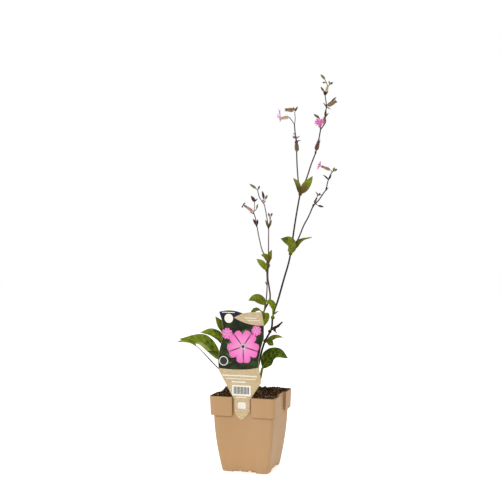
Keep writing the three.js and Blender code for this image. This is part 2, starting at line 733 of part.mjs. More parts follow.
function frameAlong(foot, mouth) {
  const along = mouth.clone().sub(foot).normalize();
  const aside = new THREE.Vector3(0, 0, 1).cross(along);
  if (aside.length() < 0.2) aside.set(1, 0, 0).cross(along);
  aside.normalize();
  const up = along.clone().cross(aside);
  return (radius, angle, rise) =>
    foot
      .clone()
      .addScaledVector(aside, radius * Math.cos(angle))
      .addScaledVector(up, radius * Math.sin(angle))
      .addScaledVector(along, rise);
}

function calyx({ foot, mouth, girth, teeth = 1.6 }) {
  const [start, end] = [spot(foot), spot(mouth)];
  const length = start.distanceTo(end);
  const place = frameAlong(start, end);
  const ring = (radiusOf, riseOf) =>
    Array.from({ length: CALYX_POINTS }, (_, i) =>
      place(radiusOf(i), (2 * Math.PI * i) / CALYX_POINTS, riseOf(i)),
    );
  const ridge = (i) => (i % 2 ? 0.86 : 1);
  const rings = CALYX_OUTLINE.map(([share, width]) =>
    ring((i) => girth * width * ridge(i), () => GAP + share * (length - GAP)),
  );
  rings.push(ring((i) => girth * (i % 2 ? 0.6 : 0.84), (i) => length + (i % 2 ? 0 : teeth)));
  rings.push(ring((i) => girth * (i % 2 ? 0.42 : 0.5), (i) => length + (i % 2 ? -0.3 : 0.2 * teeth)));
  rings.push(ring(() => girth * 0.4, () => length - MOUTH_DEPTH));
  return skin(rings);
}

// A petal's columns, from side to side, with the length of each: two lobes and a notch.
const BROAD_LOBES = [[1, 0.86], [0.5, 1], [0, 0.62], [-0.5, 1], [-1, 0.86]];
const NARROW_LOBES = [[1, 1], [0, 0.7], [-1, 1]];
const PETAL_ROWS = 3;

// One petal, as rows from its claw to its rim.
function petal({ place, turn, start, length, halfWidth, splay, droop, lobes }) {
  const top = [];
  const bottom = [];
  for (let r = 0; r <= PETAL_ROWS; r++) {
    const share = r / PETAL_ROWS;
    const line = lobes.map(([column, reach]) => {
      const out = share * length * reach;
      const side = column * halfWidth * (0.1 + 0.9 * Math.sin((Math.PI / 2) * share));
      const angle = splay + (droop * out) / length;
      const radius = start + out * Math.sin(angle);
      const rise = out * Math.cos(angle) + 0.25 * Math.abs(column) * halfWidth * share;
      return { radius, side, rise };
    });
    const point = ({ radius, side, rise }, shift) => {
      const distance = Math.hypot(radius, side);
      return place(distance, turn + Math.atan2(side, radius), rise + shift);
    };
    top.push(line.map((p) => point(p, BLADE_THICKNESS / 2)));
    bottom.push(line.map((p) => point(p, -BLADE_THICKNESS / 2)));
  }
  return slab(top, bottom);
}

function corolla({ foot, mouth, girth, teeth = 1.6, petals }) {
  const [start, end] = [spot(foot), spot(mouth)];
  const along = end.clone().sub(start).normalize();
  const seat = end.clone().addScaledVector(along, GAP - MOUTH_DEPTH);
  const tip = end.clone().addScaledVector(along, teeth + 1.6);
  const throat = 0.4 * girth - 0.25;
  const place = frameAlong(end.clone().addScaledVector(along, teeth + 0.9), tip);
  const { lengths, ...form } = petals;
  const neck = tube([seat, tip], (share) => throat * (1 + 0.5 * share ** 3), lengths.length, 2);
  const ring = lengths.map((length, i) =>
    petal({ place, turn: (2 * Math.PI * i) / lengths.length, start: 0.6 * throat, length, ...form }),
  );
  return fuse([neck, ...ring]);
}

const OPEN = {
  lengths: [6.5, 6.5, 6.5, 6.5, 6.5],
  halfWidth: 2.8,
  splay: 1.15,
  droop: 0.3,
  lobes: BROAD_LOBES,
};
// Seen from its edge, with its upper petals long and bent back.
const RISING = {
  lengths: [5, 14, 11, 4, 3.5],
  halfWidth: 2.6,
  splay: 1.7,
  droop: -0.1,
  lobes: NARROW_LOBES,
};
const HALF_OPEN = {
  lengths: [7, 6.4, 7, 6.4, 7],
  halfWidth: 2.3,
  splay: 0.75,
  droop: 0.5,
  lobes: NARROW_LOBES,
};
const WITHERED = {
  lengths: [4.4, 3.8, 4.4, 3.8, 4.4],
  halfWidth: 1.3,
  splay: 0.25,
  droop: 1.3,
  lobes: NARROW_LOBES,
};
const CURLED = {
  lengths: [7.4, 6, 8, 6.4, 7],
  halfWidth: 1.5,
  splay: 0.12,
  droop: 0.65,
  lobes: NARROW_LOBES,
};
const FADED_FORMS = [WITHERED, CURLED];

const BLOOMS = {
  right_top: { foot: [107.5, 8, 403.7], mouth: [96.4, 5, 408], girth: 2.2, petals: HALF_OPEN },
  right_faded: { foot: [85.2, 5.8, 357.8], mouth: [88.2, 3.4, 364.6], girth: 1.6, petals: CURLED },
  left_top: { foot: [50.7, -14.2, 472.7], mouth: [40.3, -18, 470.4], girth: 2.5, teeth: 0.8, petals: RISING },
  left_brown: { foot: [57.5, -12.6, 482.2], mouth: [46.7, -16, 482.2], girth: 3 },
  left_capsule: { foot: [61.4, -13.9, 426], mouth: [60.4, -17.6, 438.4], girth: 3.1, petals: CURLED },
  middle_capsule: { foot: [87.5, 0.4, 429.2], mouth: [90.6, -3.6, 440.4], girth: 3.1, teeth: 2.6 },
  middle_open: { foot: [92.6, 1.1, 461.2], mouth: [91.8, -6.4, 464.8], girth: 1.9, petals: OPEN },
  middle_brown: { foot: [98, 3.8, 466], mouth: [99.4, 0.4, 474], girth: 2.5 },
  top_brown: { foot: [103.4, 5.4, 490.8], mouth: [114.2, 1, 496.2], girth: 2.9 },
  top_pale: { foot: [101.5, 4.4, 510.4], mouth: [103.6, 1.6, 517], girth: 2 },
  short_pink: { foot: [2.4, -9.1, 346.1], mouth: [-7.6, -13, 353], girth: 2.2, petals: WITHERED },
};

// Assembly

const paint = (color, roughness) => new THREE.MeshStandardMaterial({ color, roughness, metalness: 0 });

const PLASTIC_TAN = paint(0xc8a276, 0.45);
const SOIL_BROWN = paint(0x2a1c12, 0.95);
const CARD = paint(0xcdb48c, 0.5);
const STEM_MAUVE = paint(0x5b4540, 0.6);
const LEAF_GREEN = paint(0x5f8a2a, 0.55);
const LEAF_OLIVE = paint(0x6e6a2c, 0.55);
const LEAF_DEAD = paint(0x2b2017, 0.8);
const CALYX_RED = paint(0x8a5a48, 0.6);
const PETAL_PINK = paint(0xe063b4, 0.5);
const PETAL_FADED = paint(0x6b2a34, 0.7);

const plant = new THREE.Group();

function show(name, body, material) {
  const mesh = new THREE.Mesh(geometryOf(body), material);
  mesh.name = name;
  plant.add(mesh);
}

const tallStem = branching({
  runs: TALL_RUNS,
  twigs: TALL_TWIGS,
  buds: TALL_BUDS,
  bracts: TALL_BRACTS,
  knots: TALL_KNOTS,
});
const shortStem = branching({
  runs: SHORT_RUNS,
  twigs: SHORT_TWIGS,
  buds: SHORT_BUDS,
  bracts: SHORT_BRACTS,
  knots: SHORT_KNOTS,
});
const tallRoom = fuse(TALL_RUNS.map(roomFor));
const shortRoom = fuse(SHORT_RUNS.map(roomFor));
const crownLeaves = Object.entries(CROWN_LEAVES).map(([name, form]) => [name, crownLeaf(form)]);
const stalkRooms = crownLeaves.map(([, form]) => roomFor(stalkRun(form)));

show("pot", pot(), PLASTIC_TAN);
show("soil", soil([tallRoom, shortRoom, ...stalkRooms]), SOIL_BROWN);
show("label", label(), CARD);
show("tall_stem", tallStem, STEM_MAUVE);
show("short_stem", shortStem, STEM_MAUVE);
for (const [name, ring] of Object.entries(TALL_LEAF_RINGS)) {
  show(name, leafRing({ ...ring, stem: tallRoom }), LEAF_OLIVE);
}
for (const [name, ring] of Object.entries(SHORT_LEAF_RINGS)) {
  show(name, leafRing({ ...ring, stem: shortRoom }), LEAF_OLIVE);
}
for (const [name, form] of crownLeaves) {
  show(name, leaf(form), LEAF_GREEN);
}
show("dead_leaf", deadLeaf(tallRoom), LEAF_DEAD);
for (const [name, bloom] of Object.entries(BLOOMS)) {
  show(`calyx_${name}`, calyx(bloom), CALYX_RED);
  if (bloom.petals) {
    show(`petals_${name}`, corolla(bloom), FADED_FORMS.includes(bloom.petals) ? PETAL_FADED : PETAL_PINK);
  }
}

export default plant;
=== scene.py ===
"""A red campion in a square nursery pot, dressed around its solid model.

The tables below are in millimetres, in the solid model's own frame. Meshes are made in metres.
"""

import math
import random
from dataclasses import dataclass

import bmesh
import bpy
import numpy as np
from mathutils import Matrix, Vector, noise


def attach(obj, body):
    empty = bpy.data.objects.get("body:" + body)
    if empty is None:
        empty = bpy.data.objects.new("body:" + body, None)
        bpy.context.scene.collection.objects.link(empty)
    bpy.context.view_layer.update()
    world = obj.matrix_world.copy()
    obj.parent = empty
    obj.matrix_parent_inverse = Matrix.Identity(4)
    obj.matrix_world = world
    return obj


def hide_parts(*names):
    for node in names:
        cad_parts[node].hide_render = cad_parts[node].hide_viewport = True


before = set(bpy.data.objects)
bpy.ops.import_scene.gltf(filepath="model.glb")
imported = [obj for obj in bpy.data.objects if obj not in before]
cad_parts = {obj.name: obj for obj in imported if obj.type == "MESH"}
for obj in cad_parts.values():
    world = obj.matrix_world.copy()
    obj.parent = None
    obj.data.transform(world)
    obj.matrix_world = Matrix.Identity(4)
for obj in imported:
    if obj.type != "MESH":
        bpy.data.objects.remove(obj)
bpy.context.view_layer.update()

MM = 0.001

# The plant spreads in a plane turned from the labelled face by TURN. Its places are given as
# (distance across that plane, distance behind it, height).
TURN = math.radians(15.4)
ACROSS = np.array([math.cos(TURN), math.sin(TURN), 0.0])
BEHIND = np.array([-math.sin(TURN), math.cos(TURN), 0.0])


def spot(place):
    across, behind, height = place
    return ACROSS * across + BEHIND * behind + np.array([0.0, 0.0, height])


def unit(vector):
    return vector / max(1e-9, float(np.linalg.norm(vector)))


def mix(a, b, share):
    return a + (b - a) * share


def smooth(share):
    share = min(1.0, max(0.0, share))
    return share * share * (3 - 2 * share)


def joined(rows):
    return [value for row in rows for value in row]


# Camera, light and floor

CAMERA_PLACE = (0.3218, -1.0341, 0.2945)
CAMERA_TURN = math.radians(17.4)
CAMERA_LENS = 57.3
SENSOR_WIDTH = 36
# Name, place, aim, size and power of each lamp.
LAMPS = (
    ("key", (-0.75, -1.9, 1.25), (0, 0, 0.2), 1.1, 17),
    ("fill", (1.9, -1.2, 0.9), (0, 0, 0.25), 1.4, 1.5),
    ("top", (0.1, 0.5, 2.2), (0, 0, 0), 2.0, 17),
)
SKY_SEEN = 1.0
SKY_LIGHT = 0.48
FLOOR_RADIUS = 6.0
FLOOR_SIDES = 96
FLOOR_GLOW = 0.55


def add_object(name, data):
    made = bpy.data.objects.new(name, data)
    bpy.context.scene.collection.objects.link(made)
    return made


def camera():
    data = bpy.data.cameras.new("camera")
    data.lens = CAMERA_LENS
    data.sensor_width = SENSOR_WIDTH
    made = add_object("camera", data)
    made.location = CAMERA_PLACE
    made.rotation_euler = (math.pi / 2, 0, CAMERA_TURN)
    bpy.context.scene.camera = made


def studio():
    for name, place, aim, size, power in LAMPS:
        data = bpy.data.lights.new(name, "AREA")
        data.size = size
        data.energy = power
        made = add_object(name, data)
        made.location = place
        made.rotation_euler = (Vector(aim) - Vector(place)).to_track_quat("-Z", "Y").to_euler()
    world = bpy.data.worlds.new("studio")
    world.use_nodes = True
    tree = world.node_tree
    seen = tree.nodes["Background"]
    seen.inputs["Color"].default_value = (1, 1, 1, 1)
    seen.inputs["Strength"].default_value = SKY_SEEN
    lit = tree.nodes.new("ShaderNodeBackground")
    lit.inputs["Color"].default_value = (1, 0.99, 0.97, 1)
    lit.inputs["Strength"].default_value = SKY_LIGHT
    path = tree.nodes.new("ShaderNodeLightPath")
    blend = tree.nodes.new("ShaderNodeMixShader")
    tree.links.new(path.outputs["Is Camera Ray"], blend.inputs[0])
    tree.links.new(lit.outputs[0], blend.inputs[1])
    tree.links.new(seen.outputs[0], blend.inputs[2])
    tree.links.new(blend.outputs[0], tree.nodes["World Output"].inputs["Surface"])
    bpy.context.scene.world = world
    bpy.context.scene.view_settings.view_transform = "Standard"


def floor():
    turns = [math.tau * i / FLOOR_SIDES for i in range(FLOOR_SIDES)]
    mesh = bpy.data.meshes.new("floor")
    rim = [(FLOOR_RADIUS * math.cos(a), FLOOR_RADIUS * math.sin(a), 0) for a in turns]
    mesh.from_pydata(rim, [], [list(range(FLOOR_SIDES))])
    made = add_object("floor", mesh)
    paint = Paint("floor_white", 0.7, 0.5)
    paint.set("Emission Color", (1, 1, 1, 1))
    paint.set("Emission Strength", FLOOR_GLOW)
    paint.color(paint.ramp(paint.noise(3, 2), [(0, (0.93, 0.93, 0.92)), (1, (0.96, 0.96, 0.95))]))
    mesh.materials.append(paint.material)


# Materials


def rgba(color):
    return (*color, 1.0)


def darker(color, share):
    return tuple(share * c for c in color)


class Paint:
    """One procedural material, whose patterns lie in the model's own frame."""

    def __init__(self, name, roughness, specular, soft=0.0, soft_reach=(0, 0, 0)):
        """soft is how much light goes into it, soft_reach how far red, green and blue go, in mm."""
        self.material = bpy.data.materials.new(name)
        self.material.use_nodes = True
        self.tree = self.material.node_tree
        self.shader = self.tree.nodes["Principled BSDF"]
        self.set("Roughness", roughness)
        self.set("Specular IOR Level", specular)
        if soft:
            self.set("Subsurface Weight", soft)
            self.set("Subsurface Radius", [reach * MM for reach in soft_reach])
        self.place = self.tree.nodes.new("ShaderNodeTexCoord").outputs["Object"]

    def set(self, name, value):
        self.shader.inputs[name].default_value = value

    def node(self, kind, **values):
        made = self.tree.nodes.new(kind)
        for name, value in values.items():
            setattr(made, name, value)
        return made

    def plug(self, value, socket):
        if isinstance(value, bpy.types.NodeSocket):
            self.tree.links.new(value, socket)
        elif isinstance(value, tuple):
            socket.default_value = rgba(value)
        else:
            socket.default_value = value

    def stretched(self, scale):
        made = self.node("ShaderNodeMapping")
        self.plug(self.place, made.inputs["Vector"])
        made.inputs["Scale"].default_value = scale
        return made.outputs[0]

    def noise(self, scale, detail=3, place=None, roughness=0.55):
        made = self.node("ShaderNodeTexNoise")
        self.plug(place or self.place, made.inputs["Vector"])
        made.inputs["Scale"].default_value = scale
        made.inputs["Detail"].default_value = detail
        made.inputs["Roughness"].default_value = roughness
        return made.outputs["Fac"]

    def cells(self, scale, feature="F1"):
        made = self.node("ShaderNodeTexVoronoi", feature=feature)
        self.plug(self.place, made.inputs["Vector"])
        made.inputs["Scale"].default_value = scale
        return made.outputs["Distance"]

    def mark(self, name):
        return self.node("ShaderNodeAttribute", attribute_name=name).outputs["Fac"]

    def ramp(self, share, stops):
        made = self.node("ShaderNodeValToRGB")
        self.plug(share, made.inputs[0])
        stripe = made.color_ramp.elements
        while len(stripe) < len(stops):
            stripe.new(0.5)
        for element, (place, color) in zip(stripe, stops):
            element.position = place
            element.color = rgba(color)
        return made.outputs[0]

    def math(self, operation, a, b=0.0, clamp=False):
        made = self.node("ShaderNodeMath", operation=operation, use_clamp=clamp)
        self.plug(a, made.inputs[0])
        self.plug(b, made.inputs[1])
        return made.outputs[0]

    def plus(self, a, b, clamp=False):
        return self.math("ADD", a, b, clamp)

    def minus(self, a, b):
        return self.math("SUBTRACT", a, b)

    def times(self, a, b):
        return self.math("MULTIPLY", a, b)

    def span(self, value, low, high, start=0.0, end=1.0):
        made = self.node("ShaderNodeMapRange")
        self.plug(value, made.inputs[0])
        for i, number in enumerate((low, high, start, end)):
            made.inputs[i + 1].default_value = number
        return made.outputs[0]

    def uneven(self, name, pattern, low, high, amount, clamp=True):
        """A mark, made higher and lower by a pattern."""
        return self.plus(self.mark(name), self.span(pattern, low, high, -amount, amount), clamp)

    def blend(self, share, a, b):
        made = self.node("ShaderNodeMix", data_type="RGBA", blend_type="MIX")
        self.plug(share, made.inputs[0])
        self.plug(a, made.inputs[6])
        self.plug(b, made.inputs[7])
        return made.outputs[2]

    def height(self):
        made = self.node("ShaderNodeSeparateXYZ")
        self.plug(self.place, made.inputs[0])
        return made.outputs[2]

    def color(self, value):
        self.plug(value, self.shader.inputs["Base Color"])

    def rough(self, value, low, high):
        self.plug(self.span(value, 0, 1, low, high), self.shader.inputs["Roughness"])

    def bump(self, value, depth, strength):
        made = self.node("ShaderNodeBump")
        made.inputs["Strength"].default_value = strength
        made.inputs["Distance"].default_value = depth * MM
        self.plug(value, made.inputs["Height"])
        self.plug(made.outputs[0], self.shader.inputs["Normal"])


# Meshes


class Body:
    """Gathers points and faces, with a number for each point under each mark, into one object."""

    def __init__(self):
        self.points = []
        self.faces = []
        self.marks = {}

    def add(self, points, faces, **marks):
        start = len(self.points)
        self.points.extend(points)
        self.faces.extend([tuple(start + i for i in face) for face in faces])
        for name, values in marks.items():
            kept = self.marks.setdefault(name, [])
            kept.extend([0.0] * (start - len(kept)))
            if isinstance(values, (int, float)):
                values = [values] * len(points)
            kept.extend(values)

    def skin(self, rings, **marks):
        """A closed skin over rings of as many points each."""
        self.add(joined(rings), skin_faces(len(rings), len(rings[0])), **marks)

    def mesh(self, name):
        made = bpy.data.meshes.new(name)
        made.from_pydata([tuple(p * MM) for p in self.points], [], self.faces)
        return made

    def make(self, name, material, slot, replaced=(), sharp=None, merge=False):
        mesh = self.mesh(name)
        for mark, values in self.marks.items():
            values = list(values) + [0.0] * (len(self.points) - len(values))
            mesh.attributes.new(mark, "FLOAT", "POINT").data.foreach_set("value", values)
        mesh.materials.append(material)
        mesh.polygons.foreach_set("use_smooth", [True] * len(mesh.polygons))
        if merge:
            weld(mesh)
        if sharp:
            mesh.set_sharp_from_angle(angle=math.radians(sharp))
        made = add_object(name, mesh)
        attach(made, "root")
        if replaced:
            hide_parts(*replaced)
        return made


def weld(mesh):
    """Joins points that lie on one another and drops the faces that this empties."""
    shape = bmesh.new()
    shape.from_mesh(mesh)
    bmesh.ops.remove_doubles(shape, verts=shape.verts, dist=1e-6)
    bmesh.ops.dissolve_degenerate(shape, edges=shape.edges, dist=1e-6)
    bmesh.ops.recalc_face_normals(shape, faces=shape.faces)
    shape.to_mesh(mesh)
    shape.free()


CURVE_FINENESS = 24


def curve_points(places, count):
    """Evenly spaced points on a centripetal Catmull-Rom curve through the places, and its ways."""
    given = [np.asarray(p, float) for p in places]
    given = [2 * given[0] - given[1], *given, 2 * given[-1] - given[-2]]
    fine = []
    for i in range(1, len(given) - 2):
        p0, p1, p2, p3 = given[i - 1 : i + 3]
        gaps = [max(1e-6, float(np.linalg.norm(b - a)) ** 0.5) for a, b in ((p0, p1), (p1, p2), (p2, p3))]
        t1 = (p1 - p0) / gaps[0] - (p2 - p0) / (gaps[0] + gaps[1]) + (p2 - p1) / gaps[1]
        t2 = (p2 - p1) / gaps[1] - (p3 - p1) / (gaps[1] + gaps[2]) + (p3 - p2) / gaps[2]
        t1 = t1 * gaps[1]
        t2 = t2 * gaps[1]
        c2 = -3 * p1 + 3 * p2 - 2 * t1 - t2
        c3 = 2 * p1 - 2 * p2 + t1 + t2
        for t in np.linspace(0, 1, CURVE_FINENESS, endpoint=i == len(given) - 3):
            fine.append(p1 + t1 * t + c2 * t**2 + c3 * t**3)
    fine = np.array(fine)
    lengths = np.concatenate([[0], np.cumsum(np.linalg.norm(np.diff(fine, axis=0), axis=1))])
    at = np.linspace(0, lengths[-1], count)
    points = np.stack([np.interp(at, lengths, fine[:, k]) for k in range(3)], axis=1)
    ways = np.gradient(points, axis=0)
    ways /= np.linalg.norm(ways, axis=1)[:, None]
    return points, ways


def skin_faces(rings, sides):
    faces = []
    for i in range(rings - 1):
        for j in range(sides):
            a = i * sides + j
            b = i * sides + (j + 1) % sides
            faces.append((a, b, b + sides, a + sides))
    last = (rings - 1) * sides
    faces.append(tuple(reversed(range(sides))))
    faces.append(tuple(range(last, last + sides)))
    return faces


def tube(body, places, radius_at, sides=10, step=2.0, **marks):
    """A round stem through the places, already in the model's frame. A mark may be a number or
    a function of the share of the length; along is that share where nothing else is given."""
    length = sum(float(np.linalg.norm(b - a)) for a, b in zip(places, places[1:]))
    count = max(3, round(length / step) + 1)
    centres, ways = curve_points(places, count)
    aside = np.array([1.0, 0, 0]) if abs(ways[0][2]) > 0.8 else np.array([0, 0, 1.0])
    across = np.cross(aside, ways[0])
    rings = []
    for i, (centre, way) in enumerate(zip(centres, ways)):
        across = unit(across - way * float(across @ way))
        up = np.cross(way, across)
        radius = radius_at(i / (count - 1))
        turns = [math.tau * j / sides for j in range(sides)]
        rings.append([centre + (across * math.cos(a) + up * math.sin(a)) * radius for a in turns])
    shares = joined([i / (count - 1)] * sides for i in range(count))
    marks = {"along": shares, **marks}
    for name, value in marks.items():
        if callable(value):
            marks[name] = [value(share) for share in shares]
    body.skin(rings, **marks)
    return centres, ways


def sheet(body, top, bottom, **marks):
    """A thin closed sheet between two grids of points. Marks are grids of the same shape."""
    rows = len(top)
    columns = len(top[0])
    under = rows * columns
    faces = []
    for r in range(rows - 1):
        for c in range(columns - 1):
            a = r * columns + c
            quad = (a, a + 1, a + 1 + columns, a + columns)
            faces.append(quad)
            faces.append(tuple(under + i for i in reversed(quad)))
    edge = list(range(columns - 1))
    edge += [r * columns + columns - 1 for r in range(rows - 1)]
    edge += [(rows - 1) * columns + c for c in range(columns - 1, 0, -1)]
    edge += [r * columns for r in range(rows - 1, 0, -1)]
    for i, p in enumerate(edge):
        q = edge[(i + 1) % len(edge)]
        faces.append((p, under + p, under + q, q))
    values = {name: joined(grid) * 2 for name, grid in marks.items()}
    values["under"] = [0.0] * under + [1.0] * under
    body.add(joined(top) + joined(bottom), faces, **values)


# Pot

GAP = 0.3
POT_HEIGHT = 101.5
RIM_HALF = 45.3
RIM_FOOT_HALF = 44.3
RIM_FOOT_Z = 76
RIM_CORNER = 5
BODY_TOP_HALF = 41.3
BODY_TAPER = 9
BODY_BEND = 1.7
BODY_CORNER = 7
WALL = 1.2
RECESS_HALF = 13
RECESS_CORNER = 3
BASE_Z = 3
FLOOR_Z = 4.5
FOOT_LENGTH = 16
FOOT_INNER_HALF = 26.5
RIB_OUTER_HALF = 28.5
RIB_FOOT_Z = 0.4
RIB_NOTCHES = ((-8.5, -6.3), (4, 8.5))
DRAIN_RADIUS = 4.5
DRAIN_OFFSET = 15
DRAIN_SIDES = 32
CORNER_STEPS = 10

# Columns of one half of a side: those inside the recess as shares of its half width, those on
# its step as (distance past the recess's edge, share of the band's depth), those beyond, and those
# on the rest as shares of it.
RECESS_SHARES = (0, 0.3, 0.6, 0.85)
STEP_COLUMNS = ((-0.9, 0), (-0.3, 0.03), (-0.08, 0.18), (0.08, 0.8), (0.3, 0.97), (0.9, 1))
BEYOND = (1.6, 2.8, 3.2, 4.6, 6.6, 9)
REST_SHARES = (0.35, 0.7, 1)
FLARE_REACH = 10

# Heights of the pot's rings, from the foot up the outside and down the inside. Some have a second
# number: how far the band stands out at its foot, or how far the lip draws in.
BODY_LEVELS = (3.01, 3.4, 5, 8, 12, 16, 21, 26, 31, 36, 41, 46, 51, 56, 61, 66, 70, 73, 75.2)
BAND_FOOT_LEVELS = ((75.75, 0.06), (75.94, 0.3), (76, 0.9), (76, 2.3), (76.08, 2.75))
BAND_FOOT_DEPTH = 3
BAND_LEVELS = (76.35, 76.8, 77.3, 77.9, 78.5, 79, 80.5, 84, 88, 92, 96, 99.5, 100.9)
LIP_LEVELS = ((101.3, 0.1), (101.48, 0.34), (101.48, 0.86), (101.3, 1.1), (100.9, WALL))
INNER_BAND_LEVELS = (98, 94, 89, 84, 79, 77.4)
INNER_BODY_LEVELS = (77.2, 70, 60, 50, 40, 30, 20, 10, 5.5)

# How dark the painted shade makes the wall: in the recess's corners, beside and under the bands.
STEP_PAINTED_SHADE = 0.6
EDGE_PAINTED_SHADE = 0.35
UNDER_PAINTED_SHADE = 1.0
BELOW_PAINTED_SHADE = 0.55


def body_half(z):
    share = max(0.0, 1 - z / RIM_FOOT_Z)
    return BODY_TOP_HALF - BODY_TAPER * share**BODY_BEND


def band_half(z):
    return mix(RIM_FOOT_HALF, RIM_HALF, (z - RIM_FOOT_Z) / (POT_HEIGHT - RIM_FOOT_Z))


def flare_at(z):
    """How far the recess widens near its foot, where the band's corners are round."""
    rise = RIM_FOOT_Z + RECESS_CORNER - z
    if rise <= 0:
        return 0.0
    return RECESS_CORNER - math.sqrt(max(0.0, RECESS_CORNER**2 - min(rise, RECESS_CORNER) ** 2))


def side_columns(edge, flare, flat):
    """(distance from the side's middle, share of the band's depth) across one side."""
    inner = edge + flare - 0.9
    half = [(share * inner, 0.0) for share in RECESS_SHARES]
    half += [(edge + flare + past, depth) for past, depth in STEP_COLUMNS]
    half += [(edge + past + flare * max(0, 1 - past / FLARE_REACH), 1.0) for past in BEYOND]
    last = half[-1][0]
    half += [(mix(last, flat, share), 1.0) for share in REST_SHARES]
    return [(-s, depth) for s, depth in reversed(half[1:])] + half


def quarter_turned(points, quarter):
    """The points turned about the pot's axis by so many quarters."""
    c, s = math.cos(quarter * math.pi / 2), math.sin(quarter * math.pi / 2)
    return [np.array([x * c - y * s, x * s + y * c, z]) for x, y, z in points]


def pot_ring(z, body, band=None, corner=BODY_CORNER, edge=RECESS_HALF, flare=0.0, foot=None):
    """One level of the pot: body is half its width in the recess, band half its width beside it,
    and foot a higher level that it keeps to between the feet."""
    band = body if band is None else band
    flat = band - corner
    flats = [(along, -mix(body, band, depth)) for along, depth in side_columns(edge, flare, flat)]
    turns = [math.pi / 2 * (i / CORNER_STEPS - 1) for i in range(1, CORNER_STEPS)]
    arc = [(flat + corner * math.cos(a), -flat + corner * math.sin(a)) for a in turns]
    side = [(x, y, z if foot is None or abs(x) >= FOOT_LENGTH else foot) for x, y in flats]
    side += [(x, y, z) for x, y in arc]
    return joined(quarter_turned(side, quarter) for quarter in range(4))


def pot_rings():
    base = body_half(0)
    base_edge = RECESS_HALF - 1.2
    rings = [
        pot_ring(BASE_Z, 3, corner=1, edge=1),
        pot_ring(BASE_Z, FOOT_INNER_HALF, corner=1, edge=base_edge),
        pot_ring(0, FOOT_INNER_HALF, corner=1, edge=base_edge, foot=BASE_Z),
    ]
    for z, inset in ((0, 0.6), (0.12, 0.2), (0.5, 0)):
        rings.append(pot_ring(z, base - inset, corner=BODY_CORNER - inset, foot=BASE_Z))
    rings += [pot_ring(z, body_half(z)) for z in BODY_LEVELS]
    for z, past in BAND_FOOT_LEVELS:
        corner = mix(BODY_CORNER, RIM_CORNER, past / BAND_FOOT_DEPTH)
        rings.append(pot_ring(z, BODY_TOP_HALF, BODY_TOP_HALF + past, corner, flare=RECESS_CORNER))
    for z in BAND_LEVELS:
        rings.append(pot_ring(z, BODY_TOP_HALF, band_half(z), RIM_CORNER, flare=flare_at(z)))
    for z, inset in LIP_LEVELS + tuple((z, WALL) for z in INNER_BAND_LEVELS):
        band = band_half(z) - inset
        rings.append(pot_ring(z, BODY_TOP_HALF - inset, band, RIM_CORNER - inset, RECESS_HALF + inset))
    rings += [pot_ring(z, body_half(z) - WALL, corner=BODY_CORNER - WALL) for z in INNER_BODY_LEVELS]
    rings.append(pot_ring(FLOOR_Z, body_half(FLOOR_Z) - WALL - 1, corner=BODY_CORNER - WALL - 1))
    rings.append(pot_ring(FLOOR_Z, 3, corner=1, edge=1))
    return rings


def ring_painted_shade(ring):
    """A mark for each point of a ring: painted shade in the recess's corners, beside and under the bands."""
    z = min(round(float(p[2]), 2) for p in ring)
    banded = float(max(p[0] for p in ring)) > BODY_TOP_HALF + 0.5
    if RIM_FOOT_Z < z < 101 and banded:
        marks = []
        for along, depth in side_columns(RECESS_HALF, flare_at(z), RIM_HALF - RIM_CORNER):
            past = abs(along) - RECESS_HALF - flare_at(z)
            marks.append(STEP_PAINTED_SHADE if 0 < depth < 0.9 else EDGE_PAINTED_SHADE if -1.3 < past < 0 else 0.0)
        return (marks + [0.0] * (CORNER_STEPS - 1)) * 4
    # Painted shadow under the band's foot and on the body just below it.
    if 75.5 < z <= RIM_FOOT_Z:
        return [UNDER_PAINTED_SHADE * (max(abs(p[0]), abs(p[1])) > BODY_TOP_HALF + 0.02) for p in ring]
    if 75 < z <= 75.5:
        return [BELOW_PAINTED_SHADE * (min(abs(p[0]), abs(p[1])) > RECESS_HALF) for p in ring]
    return [0.0] * len(ring)


def pot_paint():
    paint = Paint("pot_plastic", 0.5, 0.25)
    fine = paint.noise(900, 3)
    streak = paint.noise(60, 3, paint.stretched((1, 1, 0.06)))
    tan = paint.ramp(paint.noise(9, 3), [(0.3, (0.43, 0.255, 0.122)), (0.7, (0.47, 0.28, 0.135))])
    tan = paint.blend(paint.span(streak, 0.45, 0.75, 0, 0.35), tan, (0.50, 0.315, 0.17))
    dust = paint.times(paint.span(paint.height(), 0.0, 0.02, 1, 0), paint.span(fine, 0.45, 0.7))
    tan = paint.blend(paint.times(dust, 0.5), tan, (0.32, 0.21, 0.13))
    # Painted shade: the crease mark darkens the recess's corners and the wall beside and under the bands.
    paint.color(paint.blend(paint.times(paint.mark("crease"), 0.8), tan, (0.16, 0.075, 0.03)))
    paint.rough(paint.noise(120, 4), 0.44, 0.6)
    paint.bump(paint.plus(paint.times(fine, 0.35), paint.times(streak, 0.8)), 0.12, 0.6)
    return paint.material


def rib_lengths():
    """(left end, right end, foot) of each stretch of a rib under the base, notches left out."""
    places = [-FOOT_LENGTH - 0.5, *joined(RIB_NOTCHES), FOOT_LENGTH + 0.5]
    stretches = [(places[i], places[i + 1], RIB_FOOT_Z) for i in range(0, len(places), 2)]
    return stretches + [(left, right, BASE_Z - 0.4) for left, right in RIB_NOTCHES]


CUBOID_FACES = [(0, 2, 3, 1), (4, 5, 7, 6), (0, 1, 5, 4), (2, 6, 7, 3), (0, 4, 6, 2), (1, 3, 7, 5)]


